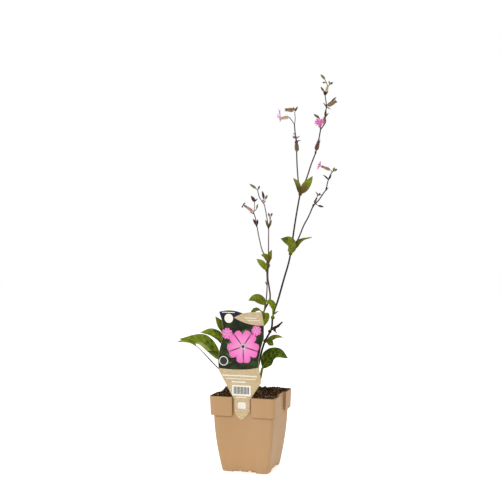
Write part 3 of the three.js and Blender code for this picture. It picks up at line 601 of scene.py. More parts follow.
def pot():
    rings = pot_rings()
    paint = pot_paint()
    shell = Body()
    # The crease mark holds each ring's painted shade.
    shell.skin(rings, crease=joined(ring_painted_shade(ring) for ring in rings))
    made = shell.make("pot_shell", paint, "pot_plastic", ("pot",), merge=True)
    cut_drains(made)
    made.data.set_sharp_from_angle(angle=math.radians(48))
    ribs = Body()
    depths = (-RIB_OUTER_HALF, -FOOT_INNER_HALF)
    for quarter in range(4):
        for left, right, foot in rib_lengths():
            corners = [(x, y, z) for z in (foot, BASE_Z + 0.4) for y in depths for x in (left, right)]
            ribs.add(quarter_turned(corners, quarter), CUBOID_FACES)
    ribs.make("pot_ribs", paint, "pot_plastic", sharp=30)


def cut_drains(shell):
    """Five round drain holes through the base."""
    cutter = Body()
    turns = np.linspace(0, math.tau, DRAIN_SIDES + 1)[:-1]
    circle = [(math.cos(a) * DRAIN_RADIUS, math.sin(a) * DRAIN_RADIUS) for a in turns]
    places = [(0, 0)] + [(DRAIN_OFFSET * a, DRAIN_OFFSET * b) for a in (-1, 1) for b in (-1, 1)]
    for x, y in places:
        levels = (BASE_Z - 1, FLOOR_Z + 1)
        cutter.skin([[np.array([x + dx, y + dy, z]) for dx, dy in circle] for z in levels])
    drains = add_object("drains", cutter.mesh("drains"))
    cut = shell.modifiers.new("drains", "BOOLEAN")
    cut.object = drains
    cut.operation = "DIFFERENCE"
    cut.solver = "EXACT"
    bpy.context.view_layer.update()
    cut_mesh = bpy.data.meshes.new_from_object(shell.evaluated_get(bpy.context.evaluated_depsgraph_get()))
    shell.modifiers.clear()
    shell.data = cut_mesh
    bpy.data.objects.remove(drains)


# Soil

SOIL_LEVEL = 99
SOIL_SIDE_FOOT = 90.0
SOIL_LEVELS = (5, 20, 40, 60, 75, 90.5)
SOIL_CELLS = 130
SOIL_SEED = 11
CRUMBS = 2300
# Least size of a crumb, how much larger the largest is, and how rare the large ones are; the same
# for how pale they are.
CRUMB_RADII = (0.45, 1.7, 2.4)
CRUMB_TONES = (0.12, 0.76, 1.3)
SPECK_SHARE = 0.05
SPECK_TONES = (0.88, 1)
SPECK_RADIUS = 0.9
FIBRES = 170
FIBRE_LENGTHS = (2, 8)
FIBRE_RADII = (0.09, 0.24)
FIBRE_TONES = (0.5, 0.96)
FIBRE_PARTS = 3


def soil_height(x, y):
    """The solid's surface, heaped higher to the back and the left, and roughened."""
    mound = 0.022 * (y - x)
    swell = 0.7 * math.sin(0.13 * x + 1.2) * math.cos(0.11 * y - 0.4)
    lumps = 0.55 * math.sin(0.9 * x + 0.4 * y) * math.sin(0.8 * y - 0.3 * x + 2)
    rough = noise.fractal(Vector((x * 0.32, y * 0.32, 4.0)), 0.7, 2.2, 4)
    heap = 1.9 * smooth((y - 4) / 34) + 2.3 * smooth((-x - 10) / 24)
    return SOIL_LEVEL + mound + swell + lumps + min(3.0, heap) + 0.9 * rough


def inside_pot(x, y, room=0.0):
    """The nearest place to x, y that is inside the pot's wall at the soil's level, by room."""
    inset = WALL + GAP + room
    narrow = BODY_TOP_HALF - inset
    wide = band_half(SOIL_LEVEL) - inset
    flat = wide - max(0.5, RIM_CORNER - inset)
    beyond = math.hypot(max(0.0, abs(x) - flat), max(0.0, abs(y) - flat))
    if min(abs(x), abs(y)) > flat and beyond > wide - flat:
        shrink = (wide - flat) / beyond
        x = math.copysign(flat + (abs(x) - flat) * shrink, x)
        y = math.copysign(flat + (abs(y) - flat) * shrink, y)
    reach = narrow if abs(y) < RECESS_HALF + inset else wide
    x = max(-reach, min(reach, x))
    reach = narrow if abs(x) < RECESS_HALF + inset else wide
    return x, max(-reach, min(reach, y))


def clod_shape():
    """The twelve corners of a clod and its twenty faces, each facing out."""
    golden = (1 + 5**0.5) / 2
    pairs = [(a, b * golden) for a in (-1, 1) for b in (-1, 1)]
    raw = [(0, a, b) for a, b in pairs] + [(a, b, 0) for a, b in pairs] + [(b, 0, a) for a, b in pairs]
    corners = [np.array(p, float) for p in raw]
    faces = []
    for i in range(12):
        for j in range(i + 1, 12):
            for k in range(j + 1, 12):
                a, b, c = corners[i], corners[j], corners[k]
                if max(np.linalg.norm(a - b), np.linalg.norm(b - c), np.linalg.norm(a - c)) < 2.1:
                    out = float(np.cross(b - a, c - a) @ (a + b + c)) > 0
                    faces.append((i, j, k) if out else (i, k, j))
    return corners, faces


CLOD_CORNERS, CLOD_FACES = clod_shape()


def skewed(rng, least, spread, rarity):
    return least + spread * rng.random() ** rarity


def clod(body, centre, radius, rng, tone):
    stretch = np.array([rng.uniform(0.7, 1.3), rng.uniform(0.7, 1.3), rng.uniform(0.55, 0.95)])
    spin = rng.uniform(0, math.tau)
    c, s = math.cos(spin), math.sin(spin)
    turn = np.array([[c, -s, 0], [s, c, 0], [0, 0, 1]])
    points = []
    for corner in CLOD_CORNERS:
        points.append(centre + turn @ (unit(corner) * stretch) * radius * rng.uniform(0.72, 1.15))
    body.add(points, CLOD_FACES, tone=tone)


def soil_paint():
    """tone runs from the dark of the bed (0) through brown clods to pale specks (1)."""
    paint = Paint("peaty_soil", 0.9, 0.12)
    tone = paint.mark("tone")
    grain = paint.noise(700, 5, roughness=0.7)
    patch = paint.noise(160, 3)
    dark = paint.ramp(patch, [(0.35, (0.012, 0.007, 0.004)), (0.65, (0.045, 0.024, 0.011))])
    brown = paint.ramp(tone, [
        (0, (0.010, 0.006, 0.003)),
        (0.4, (0.05, 0.026, 0.011)),
        (0.7, (0.24, 0.115, 0.046)),
        (0.9, (0.46, 0.30, 0.15)),
        (1, (0.75, 0.64, 0.48)),
    ])
    body = paint.blend(paint.span(tone, 0.02, 0.1), dark, brown)
    paint.color(paint.blend(paint.span(grain, 0.35, 0.75, 0, 0.6), body, (0.008, 0.005, 0.003)))
    paint.bump(grain, 0.5, 0.9)
    return paint.material


def soil():
    rng = random.Random(SOIL_SEED)
    paint = soil_paint()
    bed = Body()
    lines = [mix(-RIM_HALF, RIM_HALF, i / SOIL_CELLS) for i in range(SOIL_CELLS + 1)]
    places = [[inside_pot(x, y) for x in lines] for y in lines]
    top = [[np.array([x, y, soil_height(x, y)]) for x, y in row] for row in places]
    bottom = [[np.array([x, y, SOIL_SIDE_FOOT]) for x, y in row] for row in places]
    sheet(bed, top, bottom)
    inset = WALL + GAP
    bed.skin([pot_ring(z, body_half(z) - inset, corner=BODY_CORNER - inset) for z in SOIL_LEVELS])
    bed.make("soil_bed", paint, "soil", ("soil",))

    clods = Body()
    reach = BODY_TOP_HALF + 1
    for _ in range(CRUMBS):
        radius = skewed(rng, *CRUMB_RADII)
        x, y = inside_pot(rng.uniform(-reach, reach), rng.uniform(-reach, reach), radius + 0.2)
        tone = skewed(rng, *CRUMB_TONES)
        if rng.random() < SPECK_SHARE:
            tone, radius = rng.uniform(*SPECK_TONES), min(radius, SPECK_RADIUS)
        clod(clods, np.array([x, y, soil_height(x, y) + 0.25 * radius]), radius, rng, tone)
    clods.make("soil_crumbs", paint, "soil", sharp=20)

    fibres = Body()
    reach = BODY_TOP_HALF - 5
    for _ in range(FIBRES):
        x, y = rng.uniform(-reach, reach), rng.uniform(-reach, reach)
        heading = rng.uniform(0, math.tau)
        length = rng.uniform(*FIBRE_LENGTHS)
        places = []
        for k in range(FIBRE_PARTS + 1):
            px = x + math.cos(heading) * length * k / FIBRE_PARTS
            py = y + math.sin(heading) * length * k / FIBRE_PARTS
            px, py = inside_pot(px, py, 0.8)
            places.append(np.array([px, py, soil_height(px, py) + rng.uniform(0.1, 0.9)]))
            heading += rng.uniform(-0.5, 0.5)
        if float(np.linalg.norm(places[0] - places[-1])) > 1.5:
            thick = rng.uniform(*FIBRE_RADII)
            tone = rng.uniform(*FIBRE_TONES)
            tube(fibres, places, lambda share: thick * (1.1 - 0.6 * share), 5, 1.2, tone=tone)
    fibres.make("soil_fibres", paint, "soil")


# Label

LABEL_FRONT = -42.6
CARD_ROUNDING = ((0.3, 0.0), (0.12, 0.1), (0.0, 0.32), (0.0, 0.48), (0.12, 0.7), (0.3, 0.8))
# The card's outline as (across, height), clockwise from its top left corner and back to it. A pair
# of places is a curve that bends towards the first and ends at the second.
CARD_PATH = (
    (-32, 213), (-29.5, 206), ((-23, 190), (-29, 171)), ((-35, 153), (-32, 135)),
    (-13.5, 102.5), (-10.8, 98.5), (-10.8, 84), ((-8, 75), (-1, 71.5)), ((6, 75), (10.8, 84)),
    (10.8, 98.5), (13.5, 102.5), (26.5, 122), (22.5, 145), ((24, 163), (30, 180)),
    (30, 197), (27, 213.5), ((12, 214), (1, 211.5)), ((-14, 218), (-32, 213)),
)
CARD_CURVE_STEPS = 14
CARD_NARROW_HALF = 9.5
PRINT_INSET = 0.3
PRINT_DEPTH = 0.05
PRINT_STEP = 0.03
FIELD_FOOT = ((-33, 138.6), (4, 135.4), (24, 141.7))
BANNER_FOOT = ((31, 196.4), (8, 194.6), (-11, 205.8))
NAVY_FOOT = ((-11, 205.8), (-4, 209.5), (1.4, 211.6))
NAVY_LINE = 0.9
WHITE_DISC = ((-18.2, 204.6), 6.0)
RING_DISC = ((-25.4, 148.4), 6.2)
RING_WIDTH = 1.0
# Bare bars where the card has words: left and right end, height and width.
TEXT_BARS = (
    (-27, 20.5, 129.6, 1.5), (-23, 19, 125.6, 0.8), (-14, 5, 121.4, 1.5), (-8.5, 6.5, 101.4, 0.9),
    (-27.5, -10, 212.4, 1.0), (4, 20, 205.6, 1.0), (8, 24, 202.4, 0.7),
)
PATCH = ((-13.6, 12), (103.4, 117.2))
CODE_BARS = 11
TONGUE_PATCH = ((-5.6, 5.2), (86.4, 95))
# Flowers in the picture: middle, radius and turn.
PICTURED_FLOWERS = (((1.5, 168.0), 22.0, 0.35), ((-20.5, 184.5), 7.6, 0.9), ((19.8, 189.3), 6.8, 0.1))
PICTURED_LEAVES = 26
PICTURE_SEED = 19
PICTURE_HEIGHTS = (142.5, 194)
PICTURE_MARGIN = 0.6


def quadratic(a, b, c):
    """Points after a on a quadratic curve to c that bends towards b."""
    a, b, c = (np.array(p, float) for p in (a, b, c))
    shares = np.linspace(0, 1, CARD_CURVE_STEPS + 1)[1:]
    return [a * (1 - t) ** 2 + b * 2 * t * (1 - t) + c * t * t for t in shares]


def card_outline():
    points = []
    for step in CARD_PATH:
        if isinstance(step[0], tuple):
            points += quadratic(points[-1], *step)
        else:
            points.append(np.array(step, float))
    return points[:-1]


def winding(outline):
    """Above 0 where the outline runs anticlockwise."""
    return sum(a[0] * b[1] - b[0] * a[1] for a, b in zip(outline, outline[1:] + outline[:1]))


def drawn_in(outline, inset):
    """The outline with each point moved inwards."""
    side = 1 if winding(outline) > 0 else -1
    moved = []
    for i, point in enumerate(outline):
        before = unit(point - outline[i - 1])
        after = unit(outline[(i + 1) % len(outline)] - point)
        way = unit(before + after)
        moved.append(point + np.array((-way[1], way[0])) * side * inset)
    return moved


CARD = card_outline()
PRINT_AREA = drawn_in(CARD, PRINT_INSET)


def print_side(side):
    """Heights and places across on the print area's left (-1) or right (1) side, from its foot up."""
    edge = sorted((tuple(p) for p in PRINT_AREA if p[0] * side > CARD_NARROW_HALF), key=lambda p: p[1])
    return [p[1] for p in edge], [p[0] for p in edge]


PRINT_SIDES = {side: print_side(side) for side in (-1, 1)}


def side_at(side, height):
    return float(np.interp(height, *PRINT_SIDES[side]))


def print_edge(side, low, high):
    """The print area's limit on one side, from a low height to a high one."""
    between = [h for h in PRINT_SIDES[side][0] if low < h < high]
    return [np.array((side_at(side, h), h)) for h in (low, *between, high)]


def printed(body, outline, level, **marks):
    """A layer of print on the card's front; a higher level lies over a lower one."""
    if winding(outline) > 0:
        outline = list(reversed(outline))
    depths = (LABEL_FRONT + PRINT_DEPTH, LABEL_FRONT - PRINT_STEP * level)
    body.skin([[np.array([x, y, z]) for x, z in outline] for y in depths], **marks)


def disc(middle, radius, sides=48):
    x, z = middle
    turns = np.linspace(0, math.tau, sides + 1)[:-1]
    return [(x + radius * math.cos(a), z + radius * math.sin(a)) for a in turns]


def rounded_box(across, height, corner=0.7):
    (left, right), (low, high) = across, height
    shape = []
    for cx, cz, start in ((right - corner, high - corner, 0), (left + corner, high - corner, 90),
                          (left + corner, low + corner, 180), (right - corner, low + corner, 270)):
        turns = [math.radians(start + 22.5 * i) for i in range(5)]
        shape += [(cx + corner * math.cos(a), cz + corner * math.sin(a)) for a in turns]
    return shape


def field_outline():
    left = print_edge(-1, FIELD_FOOT[0][1], BANNER_FOOT[2][1])
    right = print_edge(1, FIELD_FOOT[2][1], BANNER_FOOT[0][1])
    foot = [p for p in quadratic(*FIELD_FOOT) if left[0][0] < p[0] < right[0][0]]
    crown = [p for p in quadratic(*BANNER_FOOT) if p[0] < right[-1][0]]
    return [left[0], *foot, *right, *crown, left[-1], *reversed(left[1:-1])]


def navy_outline():
    left = print_edge(-1, 205.8, 212.6)
    top = [p for p in PRINT_AREA if p[1] > 211.8 and -31.5 < p[0] < 1.2]
    top = sorted(top, key=lambda p: p[0])
    return [*left, *top, *reversed(quadratic(*NAVY_FOOT)), np.array(NAVY_FOOT[0])]


def pictured_petal(body, middle, radius, turn, level):
    """One notched petal of a flower in the picture."""
    shares = [r / 12 for r in range(13)]
    columns = [2 * c / 12 - 1 for c in range(13)]
    top = []
    for share in shares:
        line = []
        for column in columns:
            notch = 0.30 * max(0.0, 1 - abs(column) * 2.6) ** 1.3
            notch += 0.22 * max(0.0, abs(column) - 0.62) ** 1.2
            reach = radius * (0.06 + 0.94 * share * (1 - notch * share))
            angle = turn + 0.62 * column * (0.86 + 0.14 * share)
            depth = LABEL_FRONT - PRINT_STEP * level - 0.012 * share
            x, z = middle[0] + reach * math.cos(angle), middle[1] + reach * math.sin(angle)
            line.append(np.array([x, depth, z]))
        top.append(line)
    bottom = [[np.array([x, LABEL_FRONT + PRINT_DEPTH, z]) for x, _, z in row] for row in top]
    along = [[share] * len(columns) for share in shares]
    sheet(body, top, bottom, along=along, side=[[0.5 + 0.5 * c for c in columns]] * len(shares))


def pictured_leaf(middle, length, width, turn):
    def half(side, shares):
        return [(share * length, side * width * math.sin(math.pi * share**0.8)) for share in shares]

    shape = half(1, np.linspace(0, 1, 12)) + half(-1, np.linspace(1, 0, 12)[1:-1])
    c, s = math.cos(turn), math.sin(turn)
    return [(middle[0] + x * c - z * s, middle[1] + x * s + z * c) for x, z in shape]


def in_picture(shape):
    """Whether a shape lies within the picture, clear of its edges."""
    low, high = PICTURE_HEIGHTS
    for x, z in shape:
        if not low < z < high:
            return False
        if not side_at(-1, z) + PICTURE_MARGIN < x < side_at(1, z) - PICTURE_MARGIN:
            return False
    return True


def card_paint():
    paint = Paint("label_card", 0.45, 0.4)
    fibre = paint.noise(300, 5, paint.stretched((1, 1, 2.2)), 0.7)
    kraft = paint.ramp(fibre, [
        (0.3, (0.41, 0.30, 0.155)),
        (0.55, (0.56, 0.43, 0.245)),
        (0.8, (0.66, 0.53, 0.34)),
    ])
    paint.color(paint.blend(paint.span(paint.cells(420), 0.0, 0.16, 0.4, 0), kraft, (0.30, 0.20, 0.11)))
    paint.rough(fibre, 0.4, 0.6)
    paint.bump(fibre, 0.05, 0.5)
    return paint.material


def print_grain(paint):
    paint.bump(paint.noise(1500, 2), 0.02, 0.4)
    return paint.material


def ink(name, dark, light, scale=90):
    """A printed tone, uneven as small print is."""
    paint = Paint(name, 0.4, 0.2)
    paint.color(paint.ramp(paint.noise(scale, 3), [(0.3, dark), (0.7, light)]))
    return print_grain(paint)


def picture_paint():
    paint = Paint("picture_green", 0.45, 0.15)
    green = paint.ramp(paint.noise(45, 3), [
        (0.3, (0.004, 0.006, 0.003)),
        (0.5, (0.009, 0.016, 0.004)),
        (0.72, (0.035, 0.06, 0.012)),
    ])
    speck = paint.span(paint.noise(140, 4), 0.5, 0.8, 0, 0.5)
    paint.color(paint.blend(speck, green, (0.04, 0.055, 0.03)))
    return print_grain(paint)


def flower_paint():
    paint = Paint("picture_pink", 0.4, 0.4)
    along, side = paint.mark("along"), paint.mark("side")
    pink = paint.ramp(along, [
        (0, (0.16, 0.02, 0.06)),
        (0.16, (0.74, 0.26, 0.54)),
        (0.6, (0.80, 0.17, 0.50)),
        (1, (0.74, 0.10, 0.42)),
    ])
    streak = paint.math("SINE", paint.times(side, 60.0))
    pink = paint.blend(paint.span(streak, 0.2, 1, 0, 0.22), pink, (0.90, 0.52, 0.70))
    edge = paint.math("ABSOLUTE", paint.minus(side, 0.5))
    paint.color(paint.blend(paint.span(edge, 0.45, 0.5, 0, 0.7), pink, (0.38, 0.03, 0.15)))
    return print_grain(paint)


def make_print(layer, name, paint):
    layer.make(f"label_{name}", paint, "label_card", sharp=30)


def label():
    card = Body()
    card.skin([[np.array([x, LABEL_FRONT + depth, z]) for x, z in drawn_in(CARD, inset)]
               for inset, depth in CARD_ROUNDING])
    card.make("label_board", card_paint(), "label_card", ("label",), sharp=50)

    field = Body()
    printed(field, field_outline(), 1)
    make_print(field, "field", picture_paint())

    navy = Body()
    printed(navy, navy_outline(), 1)
    rim = [p for p in quadratic(*BANNER_FOOT) if p[0] < 29.5]
    printed(navy, [*rim, *[p - np.array((0, NAVY_LINE)) for p in reversed(rim)]], 2)
    make_print(navy, "navy", ink("navy_ink", (0.004, 0.005, 0.028), (0.010, 0.012, 0.05)))

    rng = random.Random(PICTURE_SEED)
    for name, dark, light in (("picture_leaves", (0.035, 0.075, 0.014), (0.085, 0.15, 0.03)),
                              ("picture_shade", (0.006, 0.008, 0.004), (0.02, 0.03, 0.01))):
        shapes = Body()
        for i in range(PICTURED_LEAVES):
            middle = (rng.uniform(-30, 28), rng.uniform(143, 193))
            shape = pictured_leaf(middle, rng.uniform(6, 16), rng.uniform(1.2, 3), rng.uniform(0, math.tau))
            if in_picture(shape):
                printed(shapes, shape, 2 + 0.04 * i)
        make_print(shapes, name, ink(name, dark, light, 200))

    petals, pale, dark = Body(), Body(), Body()
    for middle, radius, turn in PICTURED_FLOWERS:
        for i in range(5):
            pictured_petal(petals, middle, radius, turn + math.tau * i / 5, 4 + 0.3 * i)
        printed(dark, disc(middle, radius * 0.075, 20), 7)
        for i in range(10):
            angle = turn + math.tau * i / 10
            x = middle[0] + 0.13 * radius * math.cos(angle)
            z = middle[1] + 0.13 * radius * math.sin(angle)
            printed(pale, disc((x, z), radius * 0.028, 12), 6)
    make_print(petals, "flowers", flower_paint())

    printed(pale, disc(*WHITE_DISC), 4)
    printed(pale, disc(*RING_DISC), 4)
    for left, right, height, width in TEXT_BARS:
        printed(pale, rounded_box((left, right), (height - width / 2, height + width / 2), 0.3), 3)
    printed(pale, rounded_box(*PATCH), 1)
    printed(pale, rounded_box(*TONGUE_PATCH, 2.2), 1)
    make_print(pale, "pale", ink("pale_ink", (0.74, 0.70, 0.62), (0.86, 0.84, 0.78), 60))

    printed(dark, disc(RING_DISC[0], RING_DISC[1] - RING_WIDTH), 5)
    (left, right), (low, high) = PATCH
    step = (right - left - 4) / CODE_BARS
    for i in range(CODE_BARS):
        start = left + 2 + (i + 0.2) * step
        printed(dark, rounded_box((start, start + 0.6 * step), (low + 2.4, high - 2), 0.05), 2)
    make_print(dark, "dark", ink("dark_ink", (0.018, 0.018, 0.016), (0.045, 0.04, 0.036)))


# Plant

STEM_FOOT_Z = 84
LEAF_ROOT_Z = 86
LEAF_NECK_Z = 97
SEAT_GAP = 0.6
COLLAR_WALL = 0.9
TWIG_RADIUS = 0.55
KNOT_RADIUS = 1.2
KNOT_REACH = 2.2
STEM_FULLNESS = 1.1
BLADE_ROWS = 44
BLADE_SIDE_COLUMNS = 8
BLADE_HAIRS = 70
CROWN_BLADE_HAIRS = 140
VEIN_PAIRS = 7
VEIN_SLANT = 0.17
HAIR_RADIUS = 0.035
STALK_END_RADIUS = 0.4
BUD_STEPS = 60
BUD_RINGS = 22
BUD_SIDES = 30
BRACT_ROWS = 12
CALYX_SIDES = 60
CALYX_HAIRS = 150
TEETH = 5
PETAL_ROWS = 22
PETAL_COLUMNS = 25
UPWARD = (0, -0.6, 0.8)


@dataclass(frozen=True)
class Leaf:
    """A blade along a route. facing is the way its upper side looks. look is its tone at the base and
    at the tip, from deep green (0) to yellow-green (1), how brown its base is and how dark its tip
    is. lift is how much its sides rise, stalk what its stalk passes before the route, and fold how
    pale its turned side is."""

    route: tuple
    half_width: float
    facing: tuple
    look: tuple
    wave: float = 0.0
    lift: float = 0.22
    stalk: tuple = ()
    stalk_radii: tuple = (0.8, 0.7)
    stalk_shade: float = 0.0
    fold: float = 0.0


@dataclass(frozen=True)
class Petals:
    """One form of petals. splay is their angle from the tube's line, droop how much that grows
    towards the tip, and lobes their length as a share at places across, from one edge to the other."""

    lengths: tuple
    half_width: float
    splay: float
    droop: float
    lobes: tuple
    faded: bool = False


@dataclass(frozen=True)
class Bloom:
    """A calyx and its petals. look is its shade from olive (0) through brown and reddish tan to
    cream (1), how dark its teeth are and how dark its ribs are."""

    foot: tuple
    mouth: tuple
    girth: float
    look: tuple
    petals: Petals | None = None
    teeth: float = 1.6


# Runs of a stem: its radius at the foot and at the top, how dark it is there, from mauve (0) to
# purplish brown (1), and its route.
TALL_RUNS = (
    (1.4, 0.95, 1, 0.8, ((4, 2, STEM_FOOT_Z), (4, 2, 98), (6.5, 1, 122), (12.7, -1, 153), (18, -2, 170),
     (27, -3, 188), (29, -3, 206), (36, -4, 227), (43, -4, 252), (51, -4, 280), (54, -4, 297),
     (58, -5, 325), (61, -6, 344), (66, -7, 372))),
    (0.9, 0.8, 0.6, 0.75, ((53.6, -4, 291.8), (63.5, 0, 310), (71, 3, 328), (77, 5, 339), (84, 7, 355))),
    (0.8, 0.6, 0.75, 1, ((84, 7, 355), (91, 8, 362), (98, 9, 372), (102, 9, 378), (103, 9, 384),
     (105, 10, 391), (108, 10, 398), (110, 10, 401))),
    (0.9, 0.7, 0.3, 0.75, ((66, -7, 371.6), (64, -6, 382), (62, -8, 402), (61, -12, 424), (61, -11, 440),
     (59, -12, 451), (58, -12, 463))),
    (0.9, 0.75, 0.5, 1, ((66, -7, 371.6), (68.6, -5, 379), (74, -3, 390), (81, 0, 411), (87, 2, 427),
     (91, 5, 443), (94, 5, 459))),
    (0.75, 0.55, 1, 0.7, ((94, 5, 459), (97, 6, 463), (101, 7, 470), (100, 7, 476), (101, 7, 483),
     (102, 7, 491), (101, 7, 500), (100, 7, 509), (102, 7, 513), (104, 7, 517.6))),
)
SHORT_RUNS = (
    (1.2, 0.95, 0.95, 0.55, ((-2, 4, STEM_FOOT_Z), (-2, 4, 98), (2, 4, 144), (10, 2, 188), (18, 0, 214),
     (25, -0.5, 228), (24, -1, 243), (22, -1, 257), (23, -1, 281.4))),
    (0.85, 0.75, 0.35, 0.2, ((18, 0, 214), (20, 4, 228), (21, 5.5, 245), (20.4, 6, 270.6))),
    (0.8, 0.65, 0.15, 0.35, ((23, -1, 281), (15.4, -3, 292), (11, -5, 308), (7, -7, 329), (5, -8, 339),
     (3, -8, 345))),
    (0.8, 0.55, 0.1, 0.3, ((23, -1, 281), (23, 1, 295), (23, 3, 311), (23, 4, 325), (21, 5, 337),
     (19, 5, 348), (17, 5, 357), (14, 5, 361), (10, 4, 368), (8, 3, 377))),
)
# Routes of the thin stalks that carry a bloom.
TALL_TWIGS = (
    ((84, 7, 355), (85, 6, 357.3)),
    ((110, 10, 401), (109, 9, 402.3), (107.9, 8.2, 403.4)),
    ((61, -12, 424), (61.3, -13.6, 425.6)),
    ((58, -12, 463), (54, -13, 469), (51, -14, 472.4)),
    ((87, 2, 427), (87.4, 0.8, 428.8)),
    ((94, 5, 459), (93.3, 3.2, 460.2), (92.7, 1.5, 461)),
    ((97, 6, 463), (97.8, 4.2, 465.5)),
    ((102, 7, 490), (103, 5.6, 490.6)),
    ((100, 7, 509), (101.2, 4.8, 510)),
)
SHORT_TWIGS = (
    ((3, -8, 344), (2.6, -8.8, 345.8)),
)
# Buds: shade from yellow-green (0) to nearly black (1), how dark the tip is, length and girth of
# the head, and the route of stalk and head.
TALL_BUDS = (
    (1, 0.6, 8, 1.5, ((87, 8, 358), (90, 6.5, 355.6), (98.5, 5, 353))),
    (0.1, 0.8, 5.5, 2, ((110, 10, 401), (113, 11, 403.4), (117.3, 12, 405.4))),
    (0.15, 0.3, 4.5, 1.4, ((110, 10, 401), (111, 10.6, 402.5), (113.4, 12, 408))),
    (0.7, 0.6, 7.5, 1.4, ((58, -12, 462), (59, -12, 471), (58.6, -12, 480), (62.5, -10.5, 487.6))),
    (0.4, 0.9, 10, 1.8, ((94, 5, 459), (94.4, 6, 468), (92.4, 4.5, 473.4), (84.2, 1, 479.2))),
    (0.75, 1, 9, 1.3, ((102, 7, 491), (104.6, 8.8, 494.6), (110, 11, 499), (116, 12, 504.2))),
    (0.5, 0.8, 7.5, 1.5, ((100, 7, 507.4), (98, 6.3, 511.4), (93.9, 4, 517))),
    (0.25, 0.8, 9, 1.8, ((104, 7, 517), (102.4, 6, 521.6), (99, 5, 528), (93.6, 3.6, 533.6))),
    (0.15, 0.1, 4, 1.4, ((101.8, 5.8, 522.6), (100.2, 4.8, 522.6), (96.2, 3.6, 522.6))),
    (0.6, 0.5, 5, 1.6, ((104, 7, 517.4), (107, 8, 521), (111.3, 9, 523.8))),
    (0.4, 0.4, 3.6, 1.1, ((105.6, 7.4, 519.4), (106, 7, 521.6), (105.4, 6.4, 525.4))),
)
SHORT_BUDS = (
    (0.8, 0.3, 10, 2.3, ((3, -8, 344), (4, -8, 351), (4, -8, 360), (-0.6, -10, 367.8))),
    (0.1, 0.3, 6.5, 1.4, ((4, -7.8, 347), (6.4, -6, 349.4), (8.6, -4.2, 357))),
    (0.25, 0.5, 5, 1.5, ((23, 4, 325), (25, 6.5, 335), (24, 7, 341), (22.6, 7, 345.5))),
    (0.35, 0.6, 5, 1.5, ((25, 6.5, 334), (26, 7.6, 340), (28, 9.4, 345.5))),
    (0.8, 1, 11, 1.8, ((14.6, 5, 360.6), (16.2, 4.4, 365.4), (14.4, 3.4, 375.4))),
    (0.05, 0.5, 6.5, 1.7, ((14.4, 5, 360), (18.6, 6, 364.4), (21.4, 7, 370))),
    (0.3, 0.3, 11, 1.8, ((8, 3, 376), (5, 2, 379), (-3, 0, 384.5))),
    (0.3, 0.6, 5.5, 1.5, ((8, 3, 376), (9, 3.6, 378), (11, 5, 382.5))),
)
# Bracts: shade as for the buds, half width, foot and tip.
TALL_BRACTS = (
    (0, 1.7, (30, -3.6, 207), (36.4, -6, 212)),
    (0.78, 1.2, (84, 7, 354.5), (90.5, 5.5, 361)),
    (0.78, 1.8, (105, 10, 390.5), (97.6, 8.4, 397.4)),
    (0.78, 1.6, (105, 10, 390.5), (109, 11, 397.5)),
    (0.9, 0.9, (102, 9, 377.5), (105, 9.6, 379.5)),
    (0.9, 1, (59.3, -11.6, 449), (56.2, -12.4, 451.5)),
    (0.9, 1.1, (60, -11.4, 440.4), (66.6, -9.5, 442)),
    (0.25, 1.2, (59, -12, 481.5), (56, -10.6, 487)),
    (0.12, 0.8, (89, 4.4, 437), (93.4, 3, 446)),
    (0.78, 1.3, (100, 7, 475.5), (105, 6, 481.5)),
    (0.85, 1.5, (100.2, 6.6, 475.5), (101.2, 5.8, 487)),
    (0.3, 1.6, (102, 7, 489.6), (97.6, 5, 495)),
    (0.3, 1.2, (102, 7, 489.6), (107.6, 5.8, 486.6)),
    (0.85, 1.7, (100, 7, 505.4), (104.4, 6.6, 511.6)),
    (0.85, 1.7, (100, 7, 505.4), (98.2, 5.4, 512.6)),
)
SHORT_BRACTS = (
    (0.85, 2.3, (7, -7, 327.5), (2, -9, 336.5)),
    (0.85, 1.9, (7, -7, 327.5), (8.4, -5, 336)),
    (0.75, 1.3, (4, -8, 359.5), (8.4, -6.8, 364)),
    (0.6, 1.1, (3.4, -8, 343), (-2.4, -9.2, 346)),
    (0.4, 1.8, (23, 4, 324), (18.6, 1, 336)),
    (0.4, 1.8, (23, 4, 324), (27.4, 6.4, 336)),
    (0.5, 1.3, (15.6, 5, 358), (19.4, 4, 361.8)),
    (0.35, 1.1, (21, 5.5, 246), (18.4, 4, 251.5)),
)
# Places of the swollen nodes.
TALL_KNOTS = ((84, 7, 355), (102, 9, 378), (87, 2, 427), (102, 7, 490.5))
SHORT_KNOTS = ((7, -7, 328), (23, 4, 325))

